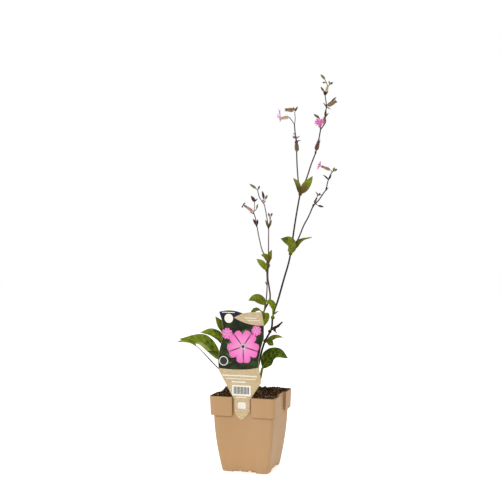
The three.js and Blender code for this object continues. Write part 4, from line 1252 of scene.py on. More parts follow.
# Leaves that part from a ring round a stem: the ring's lower and upper end, the stem's radius
# there, and the leaves.
LEAF_RINGS = {
    "tall_leaves_top": ((65.5, -7, 368.4), (66, -7, 371), 1, (
        Leaf(((65.8, -8, 370), (63.6, -11.5, 377), (61.2, -14.5, 384), (56, -17, 391)), 4, (0.5, -1, 0.2),
             (0.05, 0.3, 0.75, 0.3), wave=0.4),
        Leaf(((66.3, -8, 370.2), (70.6, -10.4, 376), (75.8, -10.4, 383.4), (82.5, -7, 394)), 5.7,
             (-0.2, -1, 0.3), (0.3, 0.75, 1, 0), wave=0.5),
    )),
    "tall_leaves_middle": ((52.6, -4, 288.2), (53, -4, 290.8), 1.2, (
        Leaf(((53, -5.5, 289.8), (54, -9.5, 297.5), (51.4, -13.5, 304.5), (39.2, -19, 309.8)), 8.2,
             (0.4, -1, 0.5), (0.5, 0.3, 0.1, 0.2), wave=0.7),
        Leaf(((53.4, -3, 289.8), (58.4, -1.4, 297.5), (64.3, 1, 304.4), (71, 3, 308.6), (82.2, 6, 311.9)),
             4.8, (0, -0.5, 1), (0.2, 0.4, 0.1, 0.1), lift=0.3, wave=0.4),
    )),
    "tall_leaves_bottom": ((18, -2, 169.6), (19.4, -2, 172.4), 1.4, (
        Leaf(((20, -3.5, 171.5), (26.5, -8, 175), (34, -12, 178), (42.5, -17, 177.8)), 3.4, (0, -1, 0.5),
             (0.2, 0.6, 0.1, 0.1), wave=0.3),
        Leaf(((20, -1, 171), (24, 0.8, 169.4), (29.8, 2.6, 164.4)), 4.8, (0.2, -1, 0.4),
             (0.1, 0.3, 0.1, 0.1)),
        Leaf(((17.6, -3, 171), (13, -7, 175), (8, -10, 174)), 3, (0, -0.6, 1), (0.4, 0.5, 0.1, 0.1)),
    )),
    "tall_leaf_arched": ((28.7, -3, 201.6), (29, -3, 204.4), 1.35, (
        Leaf(((28.6, -7, 213.2), (29, -10, 219.8), (25.2, -13, 224.4), (18, -15, 224.8)), 4.5,
             (-0.4, -1, 0.5), (0.35, 0.55, 0, 0.1), wave=0.4, stalk=((29, -5, 203),)),
    )),
    "short_leaves_top": ((22.8, -1, 277.4), (22.9, -1, 280), 0.95, (
        Leaf(((23.4, -2.2, 279), (24.4, -5, 284), (25.4, -7, 289), (27.4, -7.4, 294.8)), 3.6,
             (-0.3, -1, 0.2), (0.1, 0.35, 0.9, 0), wave=0.3),
        Leaf(((22.4, -2.2, 279), (20.8, -5.6, 283.2), (17.8, -8.6, 286.6), (13, -12, 288)), 4,
             (0.3, -1, 0.3), (0.5, 0.5, 0.55, 0.1), wave=0.3),
    )),
    "shoot_leaves": ((20.5, 5.9, 265.6), (20.4, 6, 268.2), 0.8, (
        Leaf(((19.8, 4.9, 267.2), (17.6, 3, 271.4), (13.8, 0, 275.8), (6.8, -5, 282.4)), 4.9,
             (0.4, -1, 0.4), (0.75, 0.8, 0, 0.1), wave=0.4),
        Leaf(((21, 7.2, 267.2), (22.4, 10.4, 273), (20, 12.6, 278.4)), 3.4, (-0.4, -0.6, 0.8),
             (0.4, 0.6, 0, 0.1)),
    )),
    "short_leaves_bottom": ((15.6, 0.8, 205.4), (16.6, 0.5, 208.4), 1.1, (
        Leaf(((15, -0.6, 207.4), (11.5, -6, 213), (6, -10, 213.6), (-2, -15, 208.6)), 4.4, (0, -0.6, 1),
             (0.3, 0.5, 0, 0.1), wave=0.4),
        Leaf(((16.6, -1, 207.4), (18.5, -7, 209.5), (19, -12, 202), (16, -16, 191)), 5.2,
             (0.4, -0.7, 0.6), (0.35, 0.4, 0, 0.1), wave=0.4),
        Leaf(((17.6, -5, 220.5), (12.5, -8, 227), (5, -10, 229.5), (-4, -12, 226.5)), 6.2, (0, -1, 0.3),
             (0.25, 0.4, 0, 0.15), wave=0.4, stalk=((16.4, -1.4, 208),)),
    )),
}

# Leaves from the crown, each with its place in the soil.
CROWN_LEAVES = {
    "leaf_right_large": ((3, -4),
        Leaf(((15, -8, 135), (24.6, -14, 150.6), (35.5, -21.5, 156.4), (48.8, -30, 152)), 10.1,
             (0, -1, 0.55), (0.05, 0.2, 0, 0.15), wave=0.8, stalk=((12.2, -5, 122),),
             stalk_radii=(1.45, 1.9))),
    "leaf_left_large": ((-6, 8),
        Leaf(((-44, 7, 144), (-57, 10, 160.5), (-68, 15, 168.5), (-85, 24, 169.5), (-103.5, 34, 169.5)),
             10.5, (0.3, -1, 1), (0.35, 0.45, 0, 1), wave=0.9, stalk=((-20, 7, 122),),
             stalk_radii=(1, 0.7), stalk_shade=0.3, fold=1)),
    "leaf_left_front": ((-5, -6),
        Leaf(((-30, -12, 164), (-44, -16, 178), (-55, -20, 184), (-68, -24, 184.5)), 8.2, (0.1, -0.9, 1),
             (0.2, 0.45, 0, 0.2), wave=0.6, stalk=((-16, -9, 130),))),
    "leaf_left_upright": ((-8, 13),
        Leaf(((-30, 11, 176), (-38, 10, 186), (-44, 9, 194), (-50, 8, 203.5)), 6.4, (0.4, -1, 0.3),
             (0.1, 0.3, 0, 0.6), wave=0.4, stalk=((-16, 12, 140),))),
    "leaf_left_small": ((-11, 2),
        Leaf(((-36, -1, 139), (-43, -1, 149), (-50, -2, 154), (-60, -5, 156.5)), 4.8, (0, -0.8, 1),
             (0, 0, 0, 0.7), wave=0.3, stalk=((-20, 0, 118),), stalk_shade=0.7)),
    "leaf_left_folded": ((-10, -10),
        Leaf(((-74, -13, 165), (-82, -15, 169.5), (-90, -17, 171), (-98.5, -18, 171.5)), 4, (0, -0.4, 1),
             (0.3, 0.85, 0.1, 0.9), lift=0.7, stalk=((-26, -9, 117), (-48, -10, 138)),
             stalk_radii=(0.8, 0.75), stalk_shade=1)),
    "leaf_back_tall": ((0, 12),
        Leaf(((-6, 23, 150), (-12, 29, 166), (-20, 35, 175), (-32, 42, 176)), 9.5, (0, 0.8, 0.9),
             (0.15, 0.4, 0, 0.1), wave=0.8, stalk=((-2, 18, 132),))),
    "leaf_back_low": ((7, 12),
        Leaf(((6, 22, 127), (4, 30, 138), (0, 38, 141), (-6, 46, 134)), 8.5, (0.2, 0.5, 1),
             (0.2, 0.4, 0, 0.1), wave=0.7, stalk=((7, 17, 116),))),
    "leaf_behind_label": ((0, -8),
        Leaf(((-6, -17, 142), (-12, -21, 158), (-18, -24, 172), (-24, -26, 188)), 9, (0.2, -1, 0.4),
             (0.1, 0.35, 0, 0.1), wave=0.6, stalk=((-2, -13, 124),))),
}

DEAD_LEAF_ROLL = ((25.6, -1.4, 184.6), (30, 3, 188), (35, 6, 190), (42, 9, 196))
DEAD_LEAF_COLLAR = ((24.2, -2.8, 183), (25.4, -2.9, 185))
DEAD_LEAF_COLLAR_RADIUS = 2.8
DEAD_LEAF_FLAP = Leaf(((29, 2.4, 187.4), (32, 4, 184), (34, 5, 181)), 2.4, UPWARD, (0.3, 0.3, 0, 0), wave=0.8)

BROAD_LOBES = ((-1, 0.86), (-0.5, 1), (0, 0.62), (0.5, 1), (1, 0.86))
NARROW_LOBES = ((-1, 1), (0, 0.7), (1, 1))
OPEN = Petals((6.5, 6.5, 6.5, 6.5, 6.5), 2.8, 1.15, 0.3, BROAD_LOBES)
RISING = Petals((5, 14, 11, 4, 3.5), 2.6, 1.7, -0.1, NARROW_LOBES)
HALF_OPEN = Petals((7, 6.4, 7, 6.4, 7), 2.3, 0.75, 0.5, NARROW_LOBES)
WITHERED = Petals((4.4, 3.8, 4.4, 3.8, 4.4), 1.3, 0.25, 1.3, NARROW_LOBES, faded=True)
CURLED = Petals((7.4, 6, 8, 6.4, 7), 1.5, 0.12, 0.65, NARROW_LOBES, faded=True)

# How wide a calyx is at shares of its length, against its girth.
CALYX_OUTLINE = ((0, 0.2), (0.1, 0.72), (0.3, 1), (0.6, 0.95), (0.85, 0.68))

BLOOMS = {
    "right_top": Bloom((107.5, 8, 403.7), (96.4, 5, 408), 2.2, (0.62, 0.8, 0.9), HALF_OPEN),
    "right_faded": Bloom((85.2, 5.8, 357.8), (88.2, 3.4, 364.6), 1.6, (0.42, 0.8, 0.8), CURLED),
    "left_top": Bloom((50.7, -14.2, 472.7), (40.3, -18, 470.4), 2.5, (0.93, 0.95, 0.65), RISING, teeth=0.8),
    "left_brown": Bloom((57.5, -12.6, 482.2), (46.7, -16, 482.2), 3, (0.24, 0.7, 0.5)),
    "left_capsule": Bloom((61.4, -13.9, 426), (60.4, -17.6, 438.4), 3.1, (0, 0.9, 0.9), CURLED),
    "middle_capsule": Bloom((87.5, 0.4, 429.2), (90.6, -3.6, 440.4), 3.1, (0.4, 0.95, 0.9), teeth=2.6),
    "middle_open": Bloom((92.6, 1.1, 461.2), (91.8, -6.4, 464.8), 1.9, (0.58, 0.7, 0.8), OPEN),
    "middle_brown": Bloom((98, 3.8, 466), (99.4, 0.4, 474), 2.5, (0.5, 0.7, 0.6)),
    "top_brown": Bloom((103.4, 5.4, 490.8), (114.2, 1, 496.2), 2.9, (0.12, 0.85, 0.95)),
    "top_pale": Bloom((101.5, 4.4, 510.4), (103.6, 1.6, 517), 2, (0.8, 0.5, 0.4)),
    "short_pink": Bloom((2.4, -9.1, 346.1), (-7.6, -13, 353), 2.2, (0.7, 0.9, 0.7), WITHERED),
}


def ovate(share):
    return max(0.03, math.sin(math.pi * share**0.8) ** 0.9) if 0 < share < 1 else 0.03


def hair(body, foot, way, length, **marks):
    """One stiff, slightly bent hair."""
    way = unit(way)
    aside = unit(np.cross(way, np.array([0.3, 0.5, 0.8])))
    up = np.cross(way, aside)
    corners = [math.tau * i / 3 for i in range(3)]
    points = [foot + (aside * math.cos(a) + up * math.sin(a)) * HAIR_RADIUS for a in corners]
    points.append(foot + way * length + np.array([0, 0, 0.12 * length]))
    body.add(points, [(0, 1, 3), (1, 2, 3), (2, 0, 3), (2, 1, 0)], hair=1.0, **marks)


def hairs_round(body, centres, ways, radius_at, count, length, rng, **marks):
    """Short hairs that stand out from a stem."""
    for _ in range(count):
        at = rng.random() * (len(centres) - 1)
        i = min(int(at), len(centres) - 2)
        centre = mix(centres[i], centres[i + 1], at - i)
        aside = unit(np.cross(ways[i], np.array([0.2, 0.4, 0.9])))
        up = np.cross(ways[i], aside)
        angle = rng.uniform(0, math.tau)
        out = aside * math.cos(angle) + up * math.sin(angle)
        foot = centre + out * (radius_at(at / (len(centres) - 1)) - 0.03)
        way = out + ways[i] * rng.uniform(-0.4, 0.5)
        hair(body, foot, way, length * rng.uniform(0.5, 1.1), **marks)


def columns_across():
    half = [(k / BLADE_SIDE_COLUMNS) ** 1.35 for k in range(1, BLADE_SIDE_COLUMNS + 1)]
    return [-x for x in reversed(half)] + [0.0] + half


def blade(body, leaf, seed, rows=BLADE_ROWS, hairs=BLADE_HAIRS):
    """One leaf blade along its midrib, with a sunken midrib above and raised veins below."""
    rng = random.Random(seed)
    centres, ways = curve_points([spot(p) for p in leaf.route], rows + 1)
    face_way = spot(leaf.facing)
    columns = columns_across()
    shares = [r / rows for r in range(rows + 1)]
    top, bottom, off = [], [], []
    for share, centre, ahead in zip(shares, centres, ways):
        aside = unit(np.cross(ahead, face_way))
        up = np.cross(aside, ahead)
        reach = max(0.22 + 0.25 * (share < 0.5), leaf.half_width * ovate(share))
        line_top, line_bottom = [], []
        for out in columns:
            size = abs(out)
            margin = 1 + 0.035 * size * noise.noise(Vector((share * 9, 5 * out, seed * 1.7)))
            ripple = leaf.wave * size * math.sin(9 * share + 2 * out)
            ripple += 0.22 * size**2 * noise.noise(Vector((share * 14, out * 3, seed + 0.5)))
            phase = math.tau * VEIN_PAIRS * (share - VEIN_SLANT * size)
            bulge = math.sin(math.pi * min(1, size * 1.15)) * 0.5
            quilt = 0.035 * leaf.half_width * math.cos(phase) * bulge
            rise = leaf.lift * size * reach + ripple - quilt * 0.6
            rise -= 0.16 * math.exp(-((size * reach / 0.45) ** 2))
            place = centre + aside * (out * reach * margin) + up * rise
            midrib = 0.34 * math.exp(-((size * reach / 0.4) ** 2)) * (1 - 0.7 * share)
            thick = 0.11 + 0.1 * (1 - size) + 0.02 * math.cos(phase)
            line_top.append(place + up * thick)
            line_bottom.append(place - up * (thick + midrib))
        top.append(line_top)
        bottom.append(line_bottom)
        off.append([abs(out) * reach for out in columns])
    tone, tip_tone, brown, dark = leaf.look

    def grid(value_at):
        return [[value_at(share, out) for out in columns] for share in shares]

    def folded(share, out):
        return leaf.fold * smooth((-out - 0.25) / 0.2) * smooth((0.62 - share) / 0.15)

    sheet(
        body, top, bottom, off=off, fold=grid(folded),
        along=grid(lambda share, out: share),
        side=grid(lambda share, out: abs(out)),
        tone=grid(lambda share, out: mix(tone, tip_tone, smooth(share))),
        red=grid(lambda share, out: brown * smooth((0.82 - share - 0.3 * abs(out)) / 0.5)),
        dark=grid(lambda share, out: dark * smooth((share - 0.78) / 0.22)),
    )
    for _ in range(hairs):
        r = rng.randrange(2, rows - 1)
        edge = rng.choice((0, -1))
        foot = mix(top[r][edge], bottom[r][edge], 0.5)
        inner = top[r][1 if edge == 0 else -2]
        way = unit(foot - inner) + ways[r] * 0.5
        hair(body, foot, way, rng.uniform(0.25, 0.6), tone=tone, side=1.0, off=9.0, along=r / rows)


def stalk(body, leaf, rng, root=()):
    places = [spot(p) for p in (*root, *leaf.stalk, *leaf.route[:2])]
    tone = leaf.look[0]

    def radius_at(share):
        return mix(mix(*leaf.stalk_radii, share), STALK_END_RADIUS, smooth((share - 0.66) / 0.3))

    marks = {"along": 0.0, "tone": tone + 0.3, "off": 9.0, "red": 0.1, "stalk": leaf.stalk_shade}
    centres, ways = tube(body, places, radius_at, 12, 1.4, **marks)
    hairs_round(body, centres, ways, radius_at, 60, 0.45, rng, tone=tone, off=9.0)


def swelling(body, ends, past, thin, thick, **marks):
    """A swollen node on a stem, which runs past its two ends."""
    low, high = (spot(p) for p in ends)
    way = unit(high - low)
    places = [low - way * past, mix(low, high, 0.5), high + way * past]
    tube(body, places, lambda share: mix(thin, thick, math.sin(math.pi * share) ** 0.6), 20, 0.35, **marks)


def leaf_paint(name, deep, light, brown):
    """Green blade with paler veins, a paler underside, and a brown base or a dark tip where marked."""
    paint = Paint(name, 0.55, 0.1, 0.05, (0.4, 0.8, 0.2))
    along, side, off = paint.mark("along"), paint.mark("side"), paint.mark("off")
    patch = paint.noise(110, 4)
    fine = paint.noise(900, 3)
    wobble = paint.span(paint.noise(160, 2), 0, 1, -0.03, 0.03)
    phase = paint.plus(paint.minus(along, paint.times(side, VEIN_SLANT)), wobble)
    wrapped = paint.math("FRACT", paint.times(phase, VEIN_PAIRS))
    ridge = paint.math("ABSOLUTE", paint.minus(wrapped, 0.5))
    tone = paint.uneven("tone", patch, 0.32, 0.68, 0.34, clamp=False)
    tone = paint.plus(tone, paint.span(ridge, 0.1, 0.45, -0.08, 0.1), clamp=True)
    green = paint.blend(tone, deep, light)
    lateral = paint.times(paint.span(ridge, 0.42, 0.49), paint.span(side, 0.3, 1.0, 0.9, 0.1))
    net = paint.span(paint.cells(620, "DISTANCE_TO_EDGE"), 0.0, 0.08, 0.45, 0.0)
    midrib = paint.span(off, 0.3, 0.7, 1, 0)
    veins = paint.math("MAXIMUM", paint.math("MAXIMUM", lateral, midrib), net, clamp=True)
    pale = paint.blend(0.5, green, (0.42, 0.48, 0.03))
    green = paint.blend(paint.times(veins, 0.62), green, pale)
    green = paint.blend(paint.mark("fold"), green, (0.38, 0.44, 0.10))
    green = paint.blend(paint.span(fine, 0.4, 0.75, 0, 0.35), green, darker(deep, 0.4))
    under = paint.blend(0.35, green, (0.34, 0.39, 0.05))
    green = paint.blend(paint.mark("under"), green, under)
    green = paint.blend(paint.span(side, 0.93, 1.0, 0, 0.35), green, darker(deep, 0.6))
    spread = paint.uneven("red", patch, 0.3, 0.7, 0.2)
    has_brown = paint.times(spread, paint.span(paint.mark("red"), 0.0, 0.15))
    shaded = paint.blend(paint.mark("tone"), darker(brown, 0.45), brown)
    green = paint.blend(has_brown, green, shaded)
    green = paint.blend(paint.mark("stalk"), green, (0.035, 0.022, 0.010))
    tipped = paint.times(paint.mark("dark"), paint.span(fine, 0.2, 0.6, 0.75, 1.0))
    green = paint.blend(tipped, green, (0.03, 0.026, 0.008))
    paint.color(paint.blend(paint.mark("hair"), green, (0.36, 0.38, 0.16)))
    paint.rough(paint.noise(300, 3), 0.45, 0.68)
    paint.bump(paint.minus(paint.times(fine, 0.5), paint.times(veins, 0.9)), 0.16, 0.8)
    return paint.material


def leaf_ring(name, paint, slot, seed):
    """Leaves and the swollen node that they part from."""
    low, high, radius, ringed = LEAF_RINGS[name]
    body = Body()
    rng = random.Random(seed)
    marks = {"tone": ringed[0].look[0], "off": 9.0, "red": 0.6, "stalk": 0.45}
    swelling(body, (low, high), 1.1, radius * 0.8, radius + SEAT_GAP + COLLAR_WALL - 0.15, **marks)
    for i, leaf in enumerate(ringed):
        if leaf.stalk:
            stalk(body, leaf, rng)
        blade(body, leaf, seed * 10 + i)
    body.make(f"{name}_fine", paint, slot, (name,))


def crown_leaf(name, paint, seed):
    place, leaf = CROWN_LEAVES[name]
    body = Body()
    stalk(body, leaf, random.Random(seed), ((*place, LEAF_ROOT_Z), (*place, LEAF_NECK_Z)))
    blade(body, leaf, seed, hairs=CROWN_BLADE_HAIRS)
    body.make(f"{name}_fine", paint, "basal_leaf", (name,))


def leaves():
    olive = leaf_paint("upper_leaf", (0.055, 0.075, 0.003), (0.29, 0.33, 0.022), (0.20, 0.115, 0.035))
    green = leaf_paint("basal_leaf", (0.035, 0.075, 0.002), (0.31, 0.40, 0.018), (0.13, 0.15, 0.02))
    for seed, name in enumerate(LEAF_RINGS, 1):
        if name == "tall_leaf_arched":
            leaf_ring(name, green, "basal_leaf", seed)
        else:
            leaf_ring(name, olive, "upper_leaf", seed)
    for seed, name in enumerate(CROWN_LEAVES, 1 + len(LEAF_RINGS)):
        crown_leaf(name, green, seed)


def withered_leaf_paint():
    paint = Paint("withered_leaf", 0.85, 0.25)
    grain = paint.noise(420, 5)
    brown = paint.ramp(paint.noise(90, 3), [(0.3, (0.010, 0.006, 0.004)), (0.7, (0.040, 0.024, 0.013))])
    paint.color(paint.blend(paint.span(grain, 0.5, 0.85, 0, 0.4), brown, (0.12, 0.075, 0.035)))
    paint.bump(grain, 0.3, 0.9)
    return paint.material


def dead_leaf():
    body = Body()

    def fullness(share):
        return 0.9 + 1.2 * math.sin(math.pi * share) * (1 - 0.3 * share)

    tube(body, [spot(p) for p in DEAD_LEAF_ROLL], fullness, 28, 0.4)
    centre = np.mean(body.points, axis=0)
    crumpled = []
    for p in body.points:
        crease = noise.noise(Vector(p * 0.9)) + 0.5 * noise.noise(Vector(p * 2.3 + 7))
        crumpled.append(p + unit(p - centre) * 0.45 * crease)
    body.points = crumpled
    blade(body, DEAD_LEAF_FLAP, seed=77, rows=20, hairs=0)
    swelling(body, DEAD_LEAF_COLLAR, 0.9, 1.1, DEAD_LEAF_COLLAR_RADIUS - 0.2)
    body.make("dead_leaf_fine", withered_leaf_paint(), "withered_leaf", ("dead_leaf",))


def stem_paint():
    """tone runs from greyish mauve (0) to dark purplish brown (1), and shade over buds and bracts from
    yellow-green (0) through olive and maroon to nearly black (1)."""
    paint = Paint("stem", 0.6, 0.2)
    fine = paint.noise(1400, 3, paint.stretched((1, 1, 0.2)))
    tone = paint.uneven("tone", paint.noise(120, 4, paint.stretched((1, 1, 0.25))), 0.25, 0.75, 0.25)
    bark = paint.ramp(tone, [
        (0, (0.24, 0.165, 0.17)),
        (0.5, (0.075, 0.04, 0.038)),
        (1, (0.020, 0.009, 0.008)),
    ])
    bark = paint.blend(paint.span(fine, 0.5, 0.8, 0, 0.4), bark, (0.10, 0.085, 0.04))
    shade = paint.uneven("shade", paint.noise(420, 4), 0.3, 0.7, 0.14)
    skin = paint.ramp(shade, [
        (0, (0.21, 0.24, 0.045)),
        (0.25, (0.22, 0.17, 0.07)),
        (0.5, (0.12, 0.085, 0.035)),
        (0.75, (0.095, 0.03, 0.025)),
        (1, (0.025, 0.012, 0.010)),
    ])
    skin = paint.blend(paint.mark("tip"), skin, (0.022, 0.010, 0.009))
    bark = paint.blend(paint.mark("bud"), bark, skin)
    paint.color(paint.blend(paint.mark("hair"), bark, (0.20, 0.15, 0.12)))
    paint.rough(paint.noise(300, 3), 0.48, 0.72)
    paint.bump(fine, 0.12, 0.8)
    return paint.material


def bud(body, shade, dark, length, girth, route, rng):
    """A thin stalk and a ribbed, pointed head of the given length at its end."""
    places = [spot(p) for p in route]
    measured, _ = curve_points(places, 40)
    whole = float(np.linalg.norm(np.diff(measured, axis=0), axis=1).sum())
    centres, ways = curve_points(places, BUD_STEPS)
    cut = max(2, round(max(0.02, 1 - length / whole) * (BUD_STEPS - 1)) + 1)
    stalk_places = [centres[0], *centres[4:cut:6], centres[cut - 1]]
    tube(body, stalk_places, lambda share: TWIG_RADIUS * (1 - 0.12 * share), 9, 0.8, tone=0.5)
    head, head_ways = centres[cut - 1 :], ways[cut - 1 :]
    angles = [math.tau * j / BUD_SIDES for j in range(BUD_SIDES)]
    across = unit(np.cross(np.array([0.3, 0.2, 0.9]), head_ways[0]))
    rings, tips = [], []
    for k, at in enumerate(np.linspace(0, len(head) - 1, BUD_RINGS)):
        i = min(int(at), len(head) - 2)
        centre = mix(head[i], head[i + 1], at - i)
        way = unit(mix(head_ways[i], head_ways[i + 1], at - i))
        across = unit(across - way * float(across @ way))
        up = np.cross(way, across)
        share = k / (BUD_RINGS - 1)
        swell = math.sin(math.pi * share**0.7) if share < 1 else 0.0
        radius = TWIG_RADIUS + (girth - TWIG_RADIUS) * swell - 0.2 * share - 0.25 * share**8
        ring = []
        for angle in angles:
            rib = 1 + 0.045 * math.cos(10 * angle) * math.sin(math.pi * share)
            seam = 1 - 0.12 * smooth((share - 0.65) / 0.3) * abs(math.sin(2.5 * angle)) ** 0.4
            r = max(0.06, radius) * rib * seam
            ring.append(centre + (across * math.cos(angle) + up * math.sin(angle)) * r)
            ridge = 0.3 * (math.cos(10 * angle) > 0.4) * (1 - share)
            tips.append(dark * smooth((share - 0.45) / 0.45) + ridge)
        rings.append(ring)
    body.skin(rings, bud=1.0, shade=shade, tip=tips)
    middle = centres[cut - 1 : -4]
    if len(middle) > 2:
        hairs_round(body, middle, ways[cut - 1 : -4], lambda share: girth * 0.85, 40, 0.4, rng)


def bract(body, shade, half_width, foot, tip, seed):
    piece = Body()
    blade(piece, Leaf((foot, tip), half_width, UPWARD, (0.5, 0.5, 0, 0)), seed, BRACT_ROWS, hairs=10)
    tips = [0.5 * smooth((along - 0.5) / 0.5) for along in piece.marks["along"]]
    body.add(piece.points, piece.faces, bud=1.0, shade=shade, tip=tips)


def knot(body, place):
    ends = [spot((*place[:2], place[2] + past)) for past in (-KNOT_REACH, 0, KNOT_REACH)]
    tube(body, ends, lambda share: KNOT_RADIUS * (0.55 + 0.5 * math.sin(math.pi * share)), 14, 0.3, tone=0.95)


def stem(name, runs, twigs, buds, bracts, knots, seed, paint):
    rng = random.Random(seed)
    body = Body()
    for start, end, low, high, route in runs:

        def radius_at(share, start=start, end=end):
            return STEM_FULLNESS * mix(start, end, share)

        def tone_at(share, low=low, high=high):
            return mix(low, high, share)

        centres, ways = tube(body, [spot(p) for p in route], radius_at, 14, 1.5, tone=tone_at)
        first = next(i for i, centre in enumerate(centres) if centre[2] > SOIL_LEVEL + 1)
        count = round(3.2 * len(centres))
        hairs_round(body, centres[first:], ways[first:], radius_at, count, 0.55, rng)
    for route in twigs:
        centres, ways = tube(body, [spot(p) for p in route], lambda share: TWIG_RADIUS, 10, 0.7, tone=0.8)
        hairs_round(body, centres, ways, lambda share: TWIG_RADIUS, 14, 0.4, rng)
    for row in buds:
        bud(body, *row, rng)
    for i, row in enumerate(bracts):
        bract(body, *row, seed * 100 + i)
    for place in knots:
        knot(body, place)
    body.make(f"{name}_fine", paint, "stem", (name,))


def stems():
    paint = stem_paint()
    stem("tall_stem", TALL_RUNS, TALL_TWIGS, TALL_BUDS, TALL_BRACTS, TALL_KNOTS, 5, paint)
    stem("short_stem", SHORT_RUNS, SHORT_TWIGS, SHORT_BUDS, SHORT_BRACTS, SHORT_KNOTS, 6, paint)


# Blooms


def frame_along(foot, mouth):
    """Turns (radius, angle, rise) round the line from foot to mouth into a place."""
    along = unit(mouth - foot)
    aside = np.cross(np.array([0, 0, 1.0]), along)
    if np.linalg.norm(aside) < 0.2:
        aside = np.cross(np.array([1.0, 0, 0]), along)
    aside = unit(aside)
    up = np.cross(along, aside)

    def place(radius, angle, rise):
        return foot + aside * (radius * math.cos(angle)) + up * (radius * math.sin(angle)) + along * rise

    return place


def tooth_at(angle):
    """1 at each tooth's tip and 0 in the notches between."""
    wrapped = (angle * TEETH / math.tau) % 1
    return abs(2 * wrapped - 1)


def ribbing(angle):
    return 0.93 + 0.045 * math.cos(5 * angle) + 0.035 * max(0.0, math.cos(10 * angle)) ** 3


def calyx_width(share):
    return float(np.interp(share, *zip(*CALYX_OUTLINE)))


def calyx(name, bloom, paint):
    start, end = spot(bloom.foot), spot(bloom.mouth)
    girth, teeth = bloom.girth, bloom.teeth
    length = float(np.linalg.norm(end - start))
    place = frame_along(start, end)
    shade, dark, ribbed = bloom.look
    angles = [math.tau * i / CALYX_SIDES for i in range(CALYX_SIDES)]
    ribs = [(0.5 + 0.5 * math.cos(10 * a)) * (0.7 + 0.3 * math.cos(5 * a + 0.6)) * ribbed for a in angles]
    rings, tips, shares = [], [], []

    def ring(radius_of, rise_of, share, tip_of):
        rings.append([place(radius_of(a), a, rise_of(a)) for a in angles])
        tips.append([tip_of(a) * dark for a in angles])
        shares.append([share] * CALYX_SIDES)

    for share in np.linspace(0, 0.85, 20):
        swell = calyx_width(share) + 0.02 * math.sin(9 * share)
        rise = GAP + share * (length - GAP)
        ring(lambda a: girth * swell * ribbing(a), lambda a: rise, share, lambda a: 0.0)
    for k in (0.2, 0.4, 0.6, 0.8, 0.92, 1.0):
        ring(
            lambda a: girth * mix(0.68 * ribbing(a), 0.6 + 0.24 * tooth_at(a), k),
            lambda a: mix(GAP + 0.85 * (length - GAP), length + teeth * tooth_at(a) ** 1.15, k),
            mix(0.85, 1, k),
            lambda a: k * (0.35 + 0.65 * tooth_at(a)),
        )
    for k in (0.0, 0.35, 0.7, 1.0):
        ring(
            lambda a: girth * mix(0.55 + 0.22 * tooth_at(a), 0.44, k) - 0.05,
            lambda a: mix(length + (teeth - 0.2) * tooth_at(a) ** 1.15 - 0.1, length - 1.0, k),
            mix(1, 0.9, k),
            lambda a: 0.8 - 0.5 * k,
        )
    body = Body()
    body.skin(rings, shade=shade, rib=ribs * len(rings), tip=joined(tips), along=joined(shares))
    rng = random.Random(name)
    for _ in range(CALYX_HAIRS):
        a, share = rng.uniform(0, math.tau), rng.uniform(0.05, 0.95)
        width = calyx_width(share)
        foot = place(girth * width * 0.94, a, GAP + share * (length - GAP))
        out = place(girth * width + 1, a, GAP + share * (length - GAP)) - foot
        hair(body, foot, unit(out) + 0.4 * unit(end - start), rng.uniform(0.25, 0.55), shade=shade)
    body.make(f"calyx_{name}_fine", paint, "calyx", (f"calyx_{name}",))


def calyx_paint():
    paint = Paint("calyx", 0.55, 0.22, 0.05, (0.8, 0.4, 0.3))
    skin = paint.ramp(paint.uneven("shade", paint.noise(320, 4), 0.25, 0.75, 0.1), [
        (0, (0.15, 0.11, 0.05)),
        (0.2, (0.34, 0.21, 0.10)),
        (0.4, (0.10, 0.045, 0.025)),
        (0.55, (0.36, 0.15, 0.10)),
        (0.7, (0.55, 0.28, 0.22)),
        (0.82, (0.44, 0.37, 0.14)),
        (1, (0.60, 0.47, 0.36)),
    ])
    skin = paint.blend(paint.span(paint.mark("rib"), 0.2, 0.6, 0, 0.8), skin, (0.06, 0.014, 0.012))
    foot = paint.times(paint.span(paint.mark("along"), 0.0, 0.15, 1, 0), 0.5)
    skin = paint.blend(foot, skin, (0.08, 0.06, 0.025))
    skin = paint.blend(paint.mark("tip"), skin, (0.045, 0.010, 0.012))
    paint.color(paint.blend(paint.mark("hair"), skin, (0.45, 0.36, 0.30)))
    paint.rough(paint.noise(500, 3), 0.45, 0.68)
    paint.bump(paint.noise(1600, 3), 0.08, 0.7)
    return paint.material


def lobe_reach(lobes, column):
    """The petal's length at a column between -1 and 1, rounded between the given places."""
    for (a, low), (b, high) in zip(lobes, lobes[1:]):
        if column <= b:
            return mix(low, high, smooth((column - a) / (b - a)))
    return lobes[-1][1]


